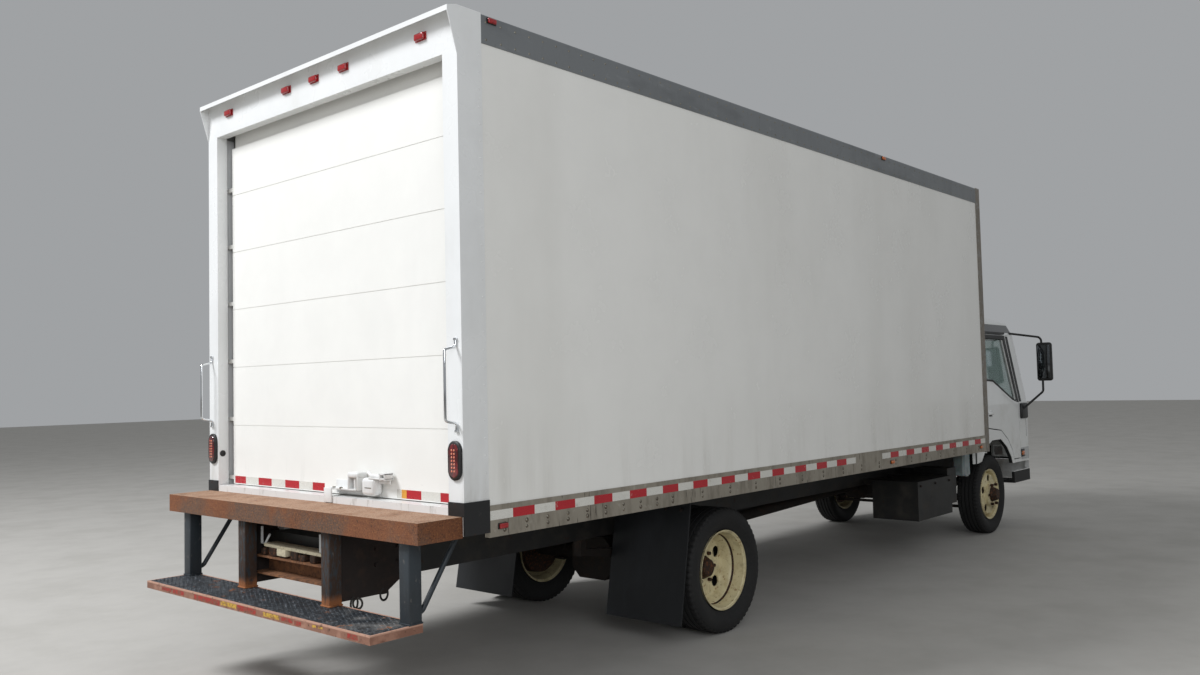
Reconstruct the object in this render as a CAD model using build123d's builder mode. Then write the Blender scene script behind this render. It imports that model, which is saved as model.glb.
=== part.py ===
"""A low-cab box truck with a dry van body, a rear platform and a lower step, in millimetres.

+X points to the front, +Y to the left and +Z up. The origin is on the ground, under the middle
of the truck's overall length and width. Every piece is written to parts/ as its own STEP file.
"""

from build123d import *

import math
import os

os.makedirs("parts", exist_ok=True)

# Layout along the truck, measured from the rear plane of the box
axle_to_box_rear = 2367
front_overhang = 1115
box_length = 6706
cab_depth = 1730
cab_gap = 126
step_reach = 450

# Tyres and wheels: 225/70R19.5 on six-stud disc wheels
tyre_diameter = 811
tyre_width = 226
rim_diameter = 521
rim_width = 166
rim_wall = 16
front_track = 1665
dual_spacing = 262
rear_track = 1650
disc_thickness = 10
hub_diameter = 150
spindle_diameter = 64
axle_tube_diameter = 110
running_fit = 0.08
seat_gap = 0.3

# Chassis frame
frame_width = 851
rail_height = 211
rail_flange = 70
rail_wall = 8
rail_top = 850

# Van body
box_width = 2438
box_top = 3480
rail_bottom_low = 913
bottom_rail_height = 153
top_rail_height = 150
rail_depth = 34
wall_thickness = 20
floor_thickness = 36
floor_top = 1066
cross_height = 95
cross_pitch = 305
cross_setback = 120
cross_width = 44
sill_width = 60
post_width = 110
post_depth = 157
post_low = 938
front_post_width = 120
header_height = 220
hood_reach = 58
hood_lip = 26
hood_sheet = 3

# Roll-up door
door_thickness = 26
door_groove = 4

# Rear platform and step
platform_depth = 265
platform_top = 1030
platform_edge = 100
step_post = 75
step_side_setback = 123
step_depth = 295
step_top = 550
step_thickness = 41

# Cab
cab_low = 700
cab_wall = 40
door_gap = 10
foot_floor = 985
deck_floor = 1245
floor_sheet = 30
deck_reach = 253
glass_inset = 14
glass_thickness = 6
tilt_height = 720
tilt_setback = 190
tilt_tube_diameter = 40
bumper_low = 480
bumper_top = 690
bumper_wall = 28
bumper_step = 82
bumper_half = 1012
bumper_corner = 140

# Steering
kingpin_inset = 122.5
kingpin_diameter = 44
steer_arm = 190
arm_height = 312

# Places worked out from the layout
wheelbase = box_length - axle_to_box_rear + cab_gap + cab_depth - front_overhang
box_rear = -(axle_to_box_rear + wheelbase + front_overhang - step_reach) / 2
rear_axle_x = box_rear + axle_to_box_rear
front_axle_x = rear_axle_x + wheelbase
face_x = front_axle_x + front_overhang
box_front = box_rear + box_length
cab_back = face_x - cab_depth
half_box = box_width / 2
wheel_z = tyre_diameter / 2
pinion_z = wheel_z + 20
tyre_radius = tyre_diameter / 2
rim_radius = rim_diameter / 2
rail_low = rail_top - rail_height
half_frame = frame_width / 2
dual_outer = (rear_track + dual_spacing) / 2
dual_inner = (rear_track - dual_spacing) / 2
tilt_x = face_x - tilt_setback
deck_low = floor_top - floor_thickness
cross_low = deck_low - cross_height
inner_box = half_box - rail_depth
post_inner = half_box - post_width
wall_back = box_rear + post_depth
wall_front = box_front - front_post_width
header_low = box_top - header_height
deck_x = front_axle_x + deck_reach


def at_x(x):
    """The plane across the truck at x, drawn in y and z, its normal to the front."""
    return Plane.YZ.offset(x)


def at_y(y):
    """The plane along the truck at y, drawn in x and z, its normal to the right."""
    return Plane.XZ.offset(-y)


def at_z(z):
    """The level plane at z, drawn in x and y, its normal up."""
    return Plane.XY.offset(z)


def slab(x, y, z, mode=Mode.ADD):
    """A block between pairs of limits along x, y and z."""
    middle = ((x[0] + x[1]) / 2, (y[0] + y[1]) / 2, (z[0] + z[1]) / 2)
    with Locations(middle):
        Box(abs(x[1] - x[0]), abs(y[1] - y[0]), abs(z[1] - z[0]), mode=mode)


def plate(plane, corners, thickness, rounding=0, both=False, grow=0, mode=Mode.ADD):
    """A polygon on a plane, its corners rounded and its outline grown, made thick."""
    with BuildSketch(plane) as outline:
        with BuildLine():
            Polyline(*corners, close=True)
        make_face()
        if rounding:
            fillet(outline.vertices(), rounding)
        if grow:
            offset(amount=grow, kind=Kind.INTERSECTION)
    extrude(outline.sketch, amount=thickness, both=both, mode=mode)


def rod(points, diameter, mode=Mode.ADD):
    """A round bar that follows points, mitred where it turns."""
    with BuildLine() as path:
        Polyline(*points)
    with BuildSketch(Plane(origin=path.line @ 0, z_dir=path.line % 0)) as section:
        Circle(diameter / 2)
    sweep(section.sketch, path=path.line, transition=Transition.RIGHT, mode=mode)


def shaft(start, end, diameter, mode=Mode.ADD):
    """A straight round bar between two points."""
    direction = Vector(*end) - Vector(*start)
    with BuildSketch(Plane(origin=start, z_dir=direction)) as section:
        Circle(diameter / 2)
    extrude(section.sketch, amount=direction.length, mode=mode)


def bar(start, end, width, mode=Mode.ADD):
    """A straight square bar between two points."""
    direction = Vector(*end) - Vector(*start)
    with BuildSketch(Plane(origin=start, z_dir=direction)) as section:
        Rectangle(width, width)
    extrude(section.sketch, amount=direction.length, mode=mode)


def turned(x, y, z, side, outline, mode=Mode.ADD):
    """A solid turned about the wheel axis at x, y, z. outline is in (outboard, radius)."""
    plane = Plane(origin=(x, y, z), x_dir=(0, side, 0), z_dir=(side, 0, 0))
    with BuildSketch(plane) as section:
        with BuildLine():
            Polyline(*outline, close=True)
        make_face()
    revolve(section.sketch, axis=Axis((x, y, z), (0, 1, 0)), mode=mode)


def finish(built, label):
    """Names a finished piece and writes it."""
    built.part.label = label
    export_step(built.part, f"parts/{label}.step")


sides = ((1, "left"), (-1, "right"))

# Chassis frame: two channel rails, tube crossmembers, cab hinge and rear cab mount
rail_back = box_rear - 40
rail_front = face_x - 260
cab_mount_x = (cab_back + 20, cab_back + 80)
cab_mount_top = deck_floor - floor_sheet - 0.3
cross_member = (70, 110)
cross_member_places = [
    box_rear + 560,
    rear_axle_x - 760,
    rear_axle_x + 620,
    rear_axle_x + 1500,
    rear_axle_x + 2400,
    front_axle_x - 760,
]

with BuildPart() as chassis_frame:
    for side, name in sides:
        outer = side * half_frame
        inner = side * (half_frame - rail_flange)
        web = side * (half_frame - rail_wall)
        channel = [
            (outer, rail_low),
            (outer, rail_top),
            (inner, rail_top),
            (inner, rail_top - rail_wall),
            (web, rail_top - rail_wall),
            (web, rail_low + rail_wall),
            (inner, rail_low + rail_wall),
            (inner, rail_low),
        ]
        plate(at_x(rail_back), channel, rail_front - rail_back)
        # bracket that carries the cab's tilt tube ahead of the rail
        bracket = [
            (rail_front - 120, rail_low + 40),
            (tilt_x + 32, tilt_height - 32),
            (tilt_x + 32, tilt_height + 32),
            (rail_front - 120, rail_top - 30),
        ]
        plate(at_y(outer), bracket, side * rail_wall)
        slab(cab_mount_x, (outer, inner), (rail_top, cab_mount_top - 50))
    for place in cross_member_places:
        slab(
            (place, place + cross_member[0]),
            (-half_frame + rail_wall, half_frame - rail_wall),
            (rail_top - 40 - cross_member[1], rail_top - 40),
        )
    slab(
        (rail_back, rail_back + rail_wall),
        (-half_frame + rail_wall, half_frame - rail_wall),
        (rail_low + rail_wall, rail_top - rail_wall),
    )
    slab(
        (rail_front - 130, rail_front - 60),
        (-half_frame + rail_wall, half_frame - rail_wall),
        (rail_low, rail_low + 70),
    )
    slab(cab_mount_x, (-half_frame - 60, half_frame + 60), (cab_mount_top - 50, cab_mount_top))
    shaft((tilt_x, half_frame, tilt_height), (tilt_x, -half_frame, tilt_height), tilt_tube_diameter)
finish(chassis_frame, "chassis_frame")


def leaf_spring(x, y, low, rise, half_length, depth, width):
    """A pack of leaves bowed between two hangers that reach up to the rail."""
    pack = [
        (x - half_length, low + rise),
        (x - half_length / 2, low + rise / 4),
        (x - 60, low),
        (x + 60, low),
        (x + half_length / 2, low + rise / 4),
        (x + half_length, low + rise),
        (x + half_length, low + rise + depth / 2),
        (x + half_length / 2, low + rise / 4 + depth * 0.8),
        (x + 60, low + depth),
        (x - 60, low + depth),
        (x - half_length / 2, low + rise / 4 + depth * 0.8),
        (x - half_length, low + rise + depth / 2),
    ]
    plate(at_y(y), pack, width / 2, both=True)
    for end in (-half_length, half_length):
        slab((x + end - 25, x + end + 25), (y - width / 2, y + width / 2), (low + rise, rail_low))


# Front axle: a dropped beam with kingpin eyes, on leaf springs
spring_y = half_frame - rail_flange / 2
spring_width = 60
kingpin_y = front_track / 2 - kingpin_inset
eye_half = kingpin_diameter / 2 + 9
beam_half_depth = 40
with BuildPart() as front_axle:
    beam = [
        (-kingpin_y, wheel_z - 35),
        (-kingpin_y + 65, wheel_z - 35),
        (-kingpin_y + 190, 290),
        (kingpin_y - 190, 290),
        (kingpin_y - 65, wheel_z - 35),
        (kingpin_y, wheel_z - 35),
        (kingpin_y, wheel_z + 35),
        (kingpin_y - 190, 372),
        (-kingpin_y + 190, 372),
        (-kingpin_y, wheel_z + 35),
    ]
    plate(at_x(front_axle_x), beam, beam_half_depth, both=True)
    for side, name in sides:
        leaf_spring(front_axle_x, side * spring_y, 371, 150, 640, 55, spring_width)
        eye = (front_axle_x, side * kingpin_y)
        slab(
            (front_axle_x - eye_half, front_axle_x + eye_half),
            (side * (kingpin_y - eye_half), side * (kingpin_y + eye_half)),
            (wheel_z - 45, wheel_z + 45),
        )
        shaft(
            (*eye, wheel_z - 60),
            (*eye, wheel_z + 60),
            kingpin_diameter + 2 * running_fit,
            mode=Mode.SUBTRACT,
        )
finish(front_axle, "front_axle")

# Rear axle: a straight tube through both hubs, the final drive's housing, and leaf springs
drum_inner_y = 642
spindle_end = 785
drive_half = (140, 190, 150)
nose_reach = 300
with BuildPart() as rear_axle:
    shaft(
        (rear_axle_x, -spindle_end, wheel_z),
        (rear_axle_x, spindle_end, wheel_z),
        axle_tube_diameter,
    )
    slab(
        (rear_axle_x - drive_half[0], rear_axle_x + drive_half[0]),
        (-drive_half[1], drive_half[1]),
        (wheel_z - drive_half[2], wheel_z + drive_half[2]),
    )
    chamfer(rear_axle.edges().filter_by(Axis.X).filter_by(lambda edge: edge.length > 200), 70)
    shaft((rear_axle_x + 80, 0, pinion_z), (rear_axle_x + nose_reach, 0, pinion_z), 130)
    for side, name in sides:
        leaf_spring(rear_axle_x, side * spring_y, wheel_z + 48, 80, 680, 80, spring_width)
finish(rear_axle, "rear_axle")

# Engine, gearbox and propeller shaft
engine_x = (front_axle_x - 521, front_axle_x + 203)
engine_half_width = 320
engine_z = (480, 1180)
with BuildPart() as engine_block:
    slab(engine_x, (-engine_half_width, engine_half_width), engine_z)
    chamfer(engine_block.edges().filter_by(Axis.X), 30)
finish(engine_block, "engine_block")

bell_back = engine_x[0] - 110
gearbox_back = engine_x[0] - 670
gearbox_z = 560
with BuildPart() as driveline:
    slab((bell_back, engine_x[0]), (-200, 200), (430, 820))
    slab((gearbox_back, bell_back), (-130, 130), (430, 690))
    chamfer(driveline.edges().filter_by(Axis.X), 45)
    slab(
        (rear_axle_x + nose_reach, rear_axle_x + nose_reach + 40),
        (-60, 60),
        (pinion_z - 60, pinion_z + 60),
    )
    shaft((rear_axle_x + nose_reach + 30, 0, pinion_z), (gearbox_back + 10, 0, gearbox_z), 90)
finish(driveline, "driveline")

# Exhaust inside the left rail: down pipe, silencer and tail pipe that leaves to the left
exhaust_y = 235
exhaust_z = 560
silencer_x = (rear_axle_x + 890, rear_axle_x + 1940)
hanger_x = rear_axle_x + 1500
with BuildPart() as exhaust:
    rod(
        [
            (engine_x[0], 260, 540),
            (engine_x[0] - 60, 260, 540),
            (silencer_x[1] - 20, exhaust_y, exhaust_z),
        ],
        60,
    )
    shaft((silencer_x[0], exhaust_y, exhaust_z), (silencer_x[1], exhaust_y, exhaust_z), 200)
    rod(
        [
            (silencer_x[0], exhaust_y, exhaust_z),
            (rear_axle_x - 850, exhaust_y, exhaust_z),
            (rear_axle_x - 1060, 900, exhaust_z),
        ],
        60,
    )
    slab(
        (hanger_x + 20, hanger_x + 50),
        (exhaust_y - 10, exhaust_y + 10),
        (exhaust_z + 80, rail_top - 40 - cross_member[1] - seat_gap),
    )
finish(exhaust, "exhaust")

# Fuel tank on the left rail, battery boxes and coolant bottle on the right
tank_length = 1000
tank_x = (rear_axle_x + 2133, rear_axle_x + 2133 + tank_length)
with BuildPart() as fuel_tank:
    slab(tank_x, (half_frame + 45, half_box - 259), (355, 745))
    fillet(fuel_tank.edges().filter_by(Axis.X), 60)
    for middle in (tank_x[0] + 167, tank_x[1] - 173):
        slab(
            (middle - 30, middle + 30),
            (half_frame, half_frame + 60),
            (rail_low + 11, rail_low + 91),
        )
finish(fuel_tank, "fuel_tank")

battery_x = (box_front - 1206, box_front - 446)
battery_side = half_box - 219
with BuildPart() as battery_box:
    slab(battery_x, (-battery_side, -560), (350, 700))
    slab((battery_x[1] + 30, battery_x[1] + 240), (50 - battery_side, -620), (420, 760))
    slab((battery_x[0] + 90, battery_x[0] + 150), (-600, -half_frame), (rail_low + 6, 695))
    slab((battery_x[1] - 150, battery_x[1] - 90), (-600, -half_frame), (rail_low + 6, 695))
    slab((battery_x[1] + 100, battery_x[1] + 160), (-640, -half_frame), (rail_low + 41, 740))
finish(battery_box, "battery_box")

bottle_x = (box_front - 66, box_front + 94)
bottle_side = half_box - 239
with BuildPart() as coolant_bottle:
    slab(bottle_x, (-bottle_side, 120 - bottle_side), (665, 880))
    chamfer(coolant_bottle.edges().filter_by(Axis.Z), 20)
    slab((bottle_x[1] - 70, bottle_x[1] - 25), (35 - bottle_side, 80 - bottle_side), (875, 898))
    slab((bottle_x[0] + 50, bottle_x[0] + 100), (-bottle_side, -half_frame), (653, 665))
finish(coolant_bottle, "coolant_bottle")

with BuildPart() as radiator:
    slab((face_x - 606, face_x - 546), (-330, 330), (480, 930))
    slab(
        (face_x - 596, face_x - 556),
        (-half_frame + rail_wall, half_frame - rail_wall),
        (rail_low + 70, rail_top - 70),
    )
finish(radiator, "radiator")

# Rear mud flaps, hung from the box's cross members
flap_y = (450, 1060)
flap_low = (rear_axle_x - 497, 134)
flap_high = (rear_axle_x - 367, 862)
flap_thickness = 10
flap_member = 6
flap_hanger_x = wall_back + cross_setback + flap_member * cross_pitch + cross_width
with BuildPart() as mud_flaps:
    for side, name in sides:
        middle = side * (flap_y[0] + flap_y[1]) / 2
        flap = [
            flap_low,
            flap_high,
            (flap_high[0], cross_low - flap_thickness),
            (flap_hanger_x, cross_low - flap_thickness),
            (flap_hanger_x, cross_low),
            (flap_high[0] - flap_thickness, cross_low),
            (flap_high[0] - flap_thickness, flap_high[1]),
            (flap_low[0] - flap_thickness, flap_low[1]),
        ]
        plate(at_y(middle), flap, (flap_y[1] - flap_y[0]) / 2, both=True)
finish(mud_flaps, "mud_flaps")

# Van body: floor with its cross members, rear sill and long sills
cross_count = int((box_length - post_depth - 2 * cross_setback) / cross_pitch)
with BuildPart() as box_floor:
    slab((wall_back, box_front - rail_depth), (-inner_box, inner_box), (deck_low, floor_top))
    slab(
        (wall_front, box_front - rail_depth),
        (post_inner - 10, inner_box),
        (deck_low, floor_top),
        mode=Mode.SUBTRACT,
    )
    slab(
        (wall_front, box_front - rail_depth),
        (-inner_box, -post_inner + 10),
        (deck_low, floor_top),
        mode=Mode.SUBTRACT,
    )
    slab((box_rear, wall_back), (-post_inner, post_inner), (post_low, floor_top))
    for side, name in sides:
        slab(
            (rail_back + 45, box_front - 400),
            (side * (half_frame - sill_width), side * half_frame),
            (rail_top, cross_low),
        )
    for count in range(cross_count + 1):
        x = wall_back + cross_setback + count * cross_pitch
        slab((x, x + cross_width), (-inner_box, inner_box), (cross_low, deck_low))
finish(box_floor, "box_floor")

# Van body: panels, rails, front corner posts
wall_outer = half_box - 5
with BuildPart() as box_panels:
    for side, name in sides:
        slab(
            (wall_back, wall_front),
            (side * (wall_outer - wall_thickness), side * wall_outer),
            (floor_top, box_top - top_rail_height),
        )
    slab(
        (box_front - 7 - wall_thickness, box_front - 7),
        (-half_box + front_post_width, half_box - front_post_width),
        (floor_top, box_top - top_rail_height),
    )
    slab((wall_back, box_front - rail_depth), (-inner_box, inner_box), (box_top - 24, box_top - 8))
finish(box_panels, "box_panels")

rail_bands = (
    # low, high
    (rail_bottom_low, rail_bottom_low + bottom_rail_height),
    (box_top - top_rail_height, box_top),
)
with BuildPart() as box_rails:
    for low, high in rail_bands:
        for side, name in sides:
            slab((wall_back, wall_front), (side * inner_box, side * half_box), (low, high))
        slab(
            (box_front - rail_depth, box_front),
            (-half_box + front_post_width, half_box - front_post_width),
            (low, high),
        )
    upper_edges = box_rails.edges().group_by(Axis.Z)[-1].filter_by(Axis.X)
    fillet(upper_edges.sort_by(Axis.Y)[0], 18)
    fillet(box_rails.edges().group_by(Axis.Z)[-1].filter_by(Axis.X).sort_by(Axis.Y)[-1], 18)
finish(box_rails, "box_rails")

with BuildPart() as front_posts:
    for side, name in sides:
        edge = half_box - front_post_width
        corner = [
            (wall_front, side * inner_box),
            (wall_front, side * half_box),
            (box_front, side * half_box),
            (box_front, side * edge),
            (box_front - rail_depth, side * edge),
            (box_front - rail_depth, side * inner_box),
        ]
        plate(at_z(rail_bottom_low - 6), corner, box_top - rail_bottom_low + 6)
    outer_edges = front_posts.edges().filter_by(Axis.Z).group_by(Axis.X)[-1]
    fillet([outer_edges.sort_by(Axis.Y)[0], outer_edges.sort_by(Axis.Y)[-1]], 26)
finish(front_posts, "front_posts")

# Rear frame: posts with a jamb and a track slot, header with its drip hood
jamb_depth = 67
slot_depth = 30
with BuildPart() as rear_posts:
    for side, name in sides:
        profile = [
            (box_rear, side * post_inner),
            (box_rear, side * half_box),
            (wall_back, side * half_box),
            (wall_back, side * inner_box),
            (box_rear + 130, side * inner_box),
            (box_rear + 130, side * (post_inner + slot_depth)),
            (box_rear + jamb_depth, side * (post_inner + slot_depth)),
            (box_rear + jamb_depth, side * post_inner),
        ]
        plate(at_z(post_low), profile, header_low - post_low)
finish(rear_posts, "rear_posts")

header_back = 60
hood_drop = 16
with BuildPart() as rear_header:
    profile = [
        (box_rear, header_low),
        (box_rear + header_back, header_low),
        (box_rear + header_back, box_top - 40),
        (wall_back, box_top - 40),
        (wall_back, box_top),
        (box_rear, box_top),
    ]
    plate(at_y(0), profile, half_box, both=True)
    hood = [
        (box_rear, box_top),
        (box_rear - hood_reach, box_top - hood_drop),
        (box_rear - hood_reach, box_top - hood_drop - hood_lip),
        (box_rear - hood_reach + hood_sheet, box_top - hood_drop - hood_lip),
        (box_rear - hood_reach + hood_sheet, box_top - hood_drop - hood_sheet),
        (box_rear, box_top - hood_sheet),
    ]
    plate(at_y(0), hood, half_box, both=True)
    gusset = [
        (box_rear, box_top),
        (box_rear - hood_reach, box_top - hood_drop),
        (box_rear - hood_reach, box_top - hood_drop - hood_lip),
        (box_rear, header_low - 20),
    ]
    for side, name in sides:
        plate(at_y(side * half_box), gusset, side * hood_sheet)
        # the header's closed end, which meets the side wall
        slab(
            (box_rear + header_back - 5, wall_back),
            (side * inner_box, side * half_box),
            (header_low, box_top - 40),
        )
finish(rear_header, "rear_header")

# Roll-up door: hinged panels shut in one line, their seams cut as grooves
door_low = floor_top + 5
door_top_panel = 300
door_panels = 5
roller_half = 12
door_z = (door_low, header_low - 70)
panel_height = (door_z[1] - door_top_panel - door_z[0]) / door_panels
door_face = box_rear + 80
door_edge = post_inner - 40
with BuildPart() as roll_up_door:
    slab((door_face, door_face + door_thickness), (-door_edge, door_edge), door_z)
    slab(
        (door_face + door_thickness - 4, door_face + door_thickness + 12),
        (-door_edge, door_edge),
        (door_z[1] - 60, header_low + 60),
    )
    for count in range(door_panels):
        seam = door_z[0] + (count + 1) * panel_height
        slab(
            (door_face - 1, door_face + 3),
            (-door_edge - 1, door_edge + 1),
            (seam - door_groove / 2, seam + door_groove / 2),
            mode=Mode.SUBTRACT,
        )
    # guide rollers that run in the posts' track slots
    for side, name in sides:
        for count in range(door_panels + 1):
            seam = door_z[0] + 40 + count * panel_height
            middle = door_face + door_thickness / 2
            slab(
                (middle - roller_half, middle + roller_half),
                (side * door_edge, side * (post_inner + slot_depth - seat_gap)),
                (seam - roller_half, seam + roller_half),
            )
finish(roll_up_door, "roll_up_door")

latch_box_y = (-413, -194)
latch_box_z = (1072, 1172)
with BuildPart() as door_latch:
    slab((door_face - 8, door_face), (latch_box_y[0], -51), (1098, 1150))
    slab((door_face - 52, door_face - 8), latch_box_y, latch_box_z)
    slab((door_face - 30, door_face - 8), (latch_box_y[1], -51), (1101, 1110))
    handle = [(-586, 1172), (-560, 1200), (-400, 1160), (-330, 1152), (-330, 1132), (-420, 1139)]
    plate(at_x(door_face - 52), handle, -18)
finish(door_latch, "door_latch")

# Rear trim: scuff plates, grab handles and lamps
scuff_top = 1095
scuff_sheet = 6
with BuildPart() as scuff_plates:
    for side, name in sides:
        slab(
            (box_rear - scuff_sheet, wall_back),
            (side * half_box, side * (half_box + scuff_sheet)),
            (post_low, scuff_top),
        )
        slab(
            (box_rear - scuff_sheet, box_rear),
            (side * post_inner, side * half_box),
            (platform_top + 0.3, scuff_top),
        )
finish(scuff_plates, "scuff_plates")

handle_y = half_box - 39
handle_z = (1434, 1865)
handle_stand = 70
handle_width = 20
with BuildPart() as grab_handles:
    for side, name in sides:
        y = side * handle_y
        across = (y - handle_width / 2, y + handle_width / 2)
        stand_x = box_rear - handle_stand
        for z in handle_z:
            ends = (z - handle_width / 2, z + handle_width / 2)
            slab((stand_x - handle_width / 2, box_rear), across, ends)
        slab((stand_x - handle_width / 2, stand_x + handle_width / 2), across, handle_z)
finish(grab_handles, "grab_handles")

tail_lamp_y = half_box - 53
tail_lamp_z = 1292
tail_lamp_size = (187, 92)
lamp_depth = 22
header_lamp_y = (-950, -286, 0, 286, 950)
header_lamp_z = box_top - 95
marker_size = (64, 30)
marker_depth = 16
side_markers = (
    # distance ahead of the box's rear plane, height
    (225, box_top - 28),
    (4578, box_top - 28),
    (243, rail_bottom_low + 49),
    (4534, rail_bottom_low + 46),
    (box_length - 246, rail_bottom_low + 49),
)
with BuildPart() as lamps:
    for side, name in sides:
        with BuildSketch(at_x(box_rear)) as oval:
            with Locations((side * tail_lamp_y, tail_lamp_z)):
                SlotOverall(*tail_lamp_size, rotation=90)
        extrude(oval.sketch, amount=-lamp_depth)
        for reach, height in side_markers:
            slab(
                (box_rear + reach - marker_size[0] / 2, box_rear + reach + marker_size[0] / 2),
                (side * half_box, side * (half_box + marker_depth)),
                (height - marker_size[1] / 2, height + marker_size[1] / 2),
            )
    for y in header_lamp_y:
        slab(
            (box_rear - lamp_depth, box_rear),
            (y - marker_size[0] / 2, y + marker_size[0] / 2),
            (header_lamp_z - marker_size[1] / 2, header_lamp_z + marker_size[1] / 2),
        )
finish(lamps, "lamps")

# Rear platform, its posts and the lower step
platform_half = half_box - 13
platform_sheet = 8
with BuildPart() as rear_platform:
    slab(
        (box_rear - platform_depth, box_rear),
        (-platform_half, platform_half),
        (platform_top - platform_edge, platform_top),
    )
    slab(
        (box_rear - platform_depth + platform_sheet, box_rear - platform_sheet),
        (-platform_half + platform_sheet, platform_half - platform_sheet),
        (platform_top - platform_edge - 1, platform_top - platform_sheet),
        mode=Mode.SUBTRACT,
    )
finish(rear_platform, "rear_platform")

post_x = (box_rear - step_reach + step_depth - step_post, box_rear - step_reach + step_depth)
step_half_width = half_box - step_side_setback
step_post_y = (step_half_width - 41, 412)
brace_width = 40
with BuildPart() as step_posts:
    for side, name in sides:
        for y in step_post_y:
            slab(
                post_x,
                (side * y - step_post / 2, side * y + step_post / 2),
                (step_top, platform_top - platform_sheet),
            )
        brace = [
            (post_x[1] - 10, step_top + 10),
            (post_x[1] + 30, step_top + 10),
            (box_rear + 130, post_low),
            (box_rear + 80, post_low),
            (post_x[1] - 10, step_top + 60),
        ]
        plate(at_y(side * step_post_y[0]), brace, brace_width / 2, both=True)
finish(step_posts, "step_posts")

step_x = (box_rear - step_reach, box_rear - step_reach + step_depth)
with BuildPart() as rear_step:
    slab(step_x, (-step_half_width, step_half_width), (step_top - step_thickness, step_top))
    slab(
        (step_x[0] + 6, step_x[1] - 6),
        (-step_half_width + 6, step_half_width - 6),
        (step_top - step_thickness - 1, step_top - 6),
        mode=Mode.SUBTRACT,
    )
finish(rear_step, "rear_step")

hitch_plate = 12
hitch_channel_z = (622, 726)
with BuildPart() as tow_hitch:
    for side, name in sides:
        ear = [
            (post_x[1] + 5, 565),
            (box_rear + 120, 565),
            (box_rear + 330, 700),
            (box_rear + 330, rail_top),
            (post_x[1] + 5, rail_top + 60),
        ]
        plate(at_y(side * (half_frame + hitch_plate)), ear, side * hitch_plate)
    channel = [
        (post_x[1] + 10, hitch_channel_z[0]),
        (rail_back - 5, hitch_channel_z[0]),
        (rail_back - 5, hitch_channel_z[1]),
        (post_x[1] + 10, hitch_channel_z[1]),
        (post_x[1] + 10, hitch_channel_z[1] - 10),
        (rail_back - 15, hitch_channel_z[1] - 10),
        (rail_back - 15, hitch_channel_z[0] + 10),
        (post_x[1] + 10, hitch_channel_z[0] + 10),
    ]
    plate(at_y(0), channel, half_frame, both=True)
finish(tow_hitch, "tow_hitch")

# Cab: level sections from the skirt to the crown of the roof
cab_sections = (
    # height, front set-back from the bumper face, half width
    (cab_low, 75, 1030),
    (1340, 75, 1030),
    (2080, 345, 990),
    (2210, 415, 945),
    (2285, 600, 780),
)
cab_shoulder = 2080
cab_corner = 130
cab_rear_corner = 35


def plan(level, back, front, half_width, corner, bevel):
    """The edges of a level outline: straight sides, rounded front corners, bevelled rear ones."""
    slant = corner * (1 - math.sqrt(0.5))
    left = [
        (back, half_width - bevel),
        (back + bevel, half_width),
        (front - corner, half_width),
        (front - slant, half_width - slant),
        (front, half_width - corner),
    ]
    right = [(x, -y) for x, y in reversed(left)]
    points = [Vector(x, y, level) for x, y in left + right]
    return [
        Edge.make_line(points[0], points[1]),
        Edge.make_line(points[1], points[2]),
        Edge.make_three_point_arc(points[2], points[3], points[4]),
        Edge.make_line(points[4], points[5]),
        Edge.make_three_point_arc(points[5], points[6], points[7]),
        Edge.make_line(points[7], points[8]),
        Edge.make_line(points[8], points[9]),
        Edge.make_line(points[9], points[0]),
    ]


def ruled_form(levels):
    """A solid through level outlines: flat faces between lines, ruled ones between arcs."""
    faces = [Face(Wire(levels[0])), Face(Wire(levels[-1]))]
    for lower, upper in zip(levels, levels[1:]):
        for one, other in zip(lower, upper):
            if one.geom_type == GeomType.LINE:
                corners = [one @ 0, one @ 1, other @ 1, other @ 0]
                faces.append(Face(Wire.make_polygon(corners)))
            else:
                faces.append(Face.make_surface_from_curves(one, other))
    return Solid(Shell(faces))


def cab_form(inset):
    """The cab's closed outer form, drawn in by inset on every side."""
    levels = []
    for height, setback, half_width in cab_sections:
        level = height - inset if height > cab_shoulder else height
        levels.append(
            plan(
                level,
                cab_back + inset,
                face_x - setback - inset,
                half_width - inset,
                cab_corner - inset / 2,
                cab_rear_corner - inset / 2,
            )
        )
    return ruled_form(levels)


# Openings drawn once: doors and windows in side view, glass in front and rear view
door_front = face_x - 452
door_back = face_x - 1395
door_outline = [
    (door_front, 745),
    (door_front, 1340),
    (door_front - 282, 2075),
    (door_back, 2075),
    (door_back, 1110),
    (front_axle_x + 110, 1070),
    (front_axle_x + 300, 965),
    (front_axle_x + 420, 845),
    (front_axle_x + 470, 745),
]
side_window = [
    (door_back + 62, 1600),
    (door_back + 240, 1592),
    (door_front - 190, 1392),
    (door_front - 66, 1352),
    (door_front - 322, 2035),
    (door_back + 62, 2035),
]
windscreen = [(-865, 1375), (865, 1375), (825, 2052), (-825, 2052)]
rear_window = [(-620, 1520), (620, 1520), (620, 1960), (-620, 1960)]
wheel_arch = [
    (cab_back - 20, 760),
    (front_axle_x - 470, 780),
    (front_axle_x - 330, 915),
    (front_axle_x - 160, 975),
    (front_axle_x + 90, 975),
    (front_axle_x + 265, 880),
    (front_axle_x + 385, 765),
    (front_axle_x + 420, cab_low - 10),
    (cab_back - 20, cab_low - 10),
]
lamp_band = (720, 850)
lamp_inner_y = 600
grille_outline = [(-590, 730), (590, 730), (590, 845), (-590, 845)]

with BuildPart() as cab_room:
    add(cab_form(cab_wall))
    room = [
        (cab_back - 10, deck_floor),
        (deck_x, deck_floor),
        (deck_x, foot_floor),
        (face_x, foot_floor),
        (face_x, 2400),
        (cab_back - 10, 2400),
    ]
    plate(at_y(0), room, half_box, both=True, mode=Mode.INTERSECT)

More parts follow.
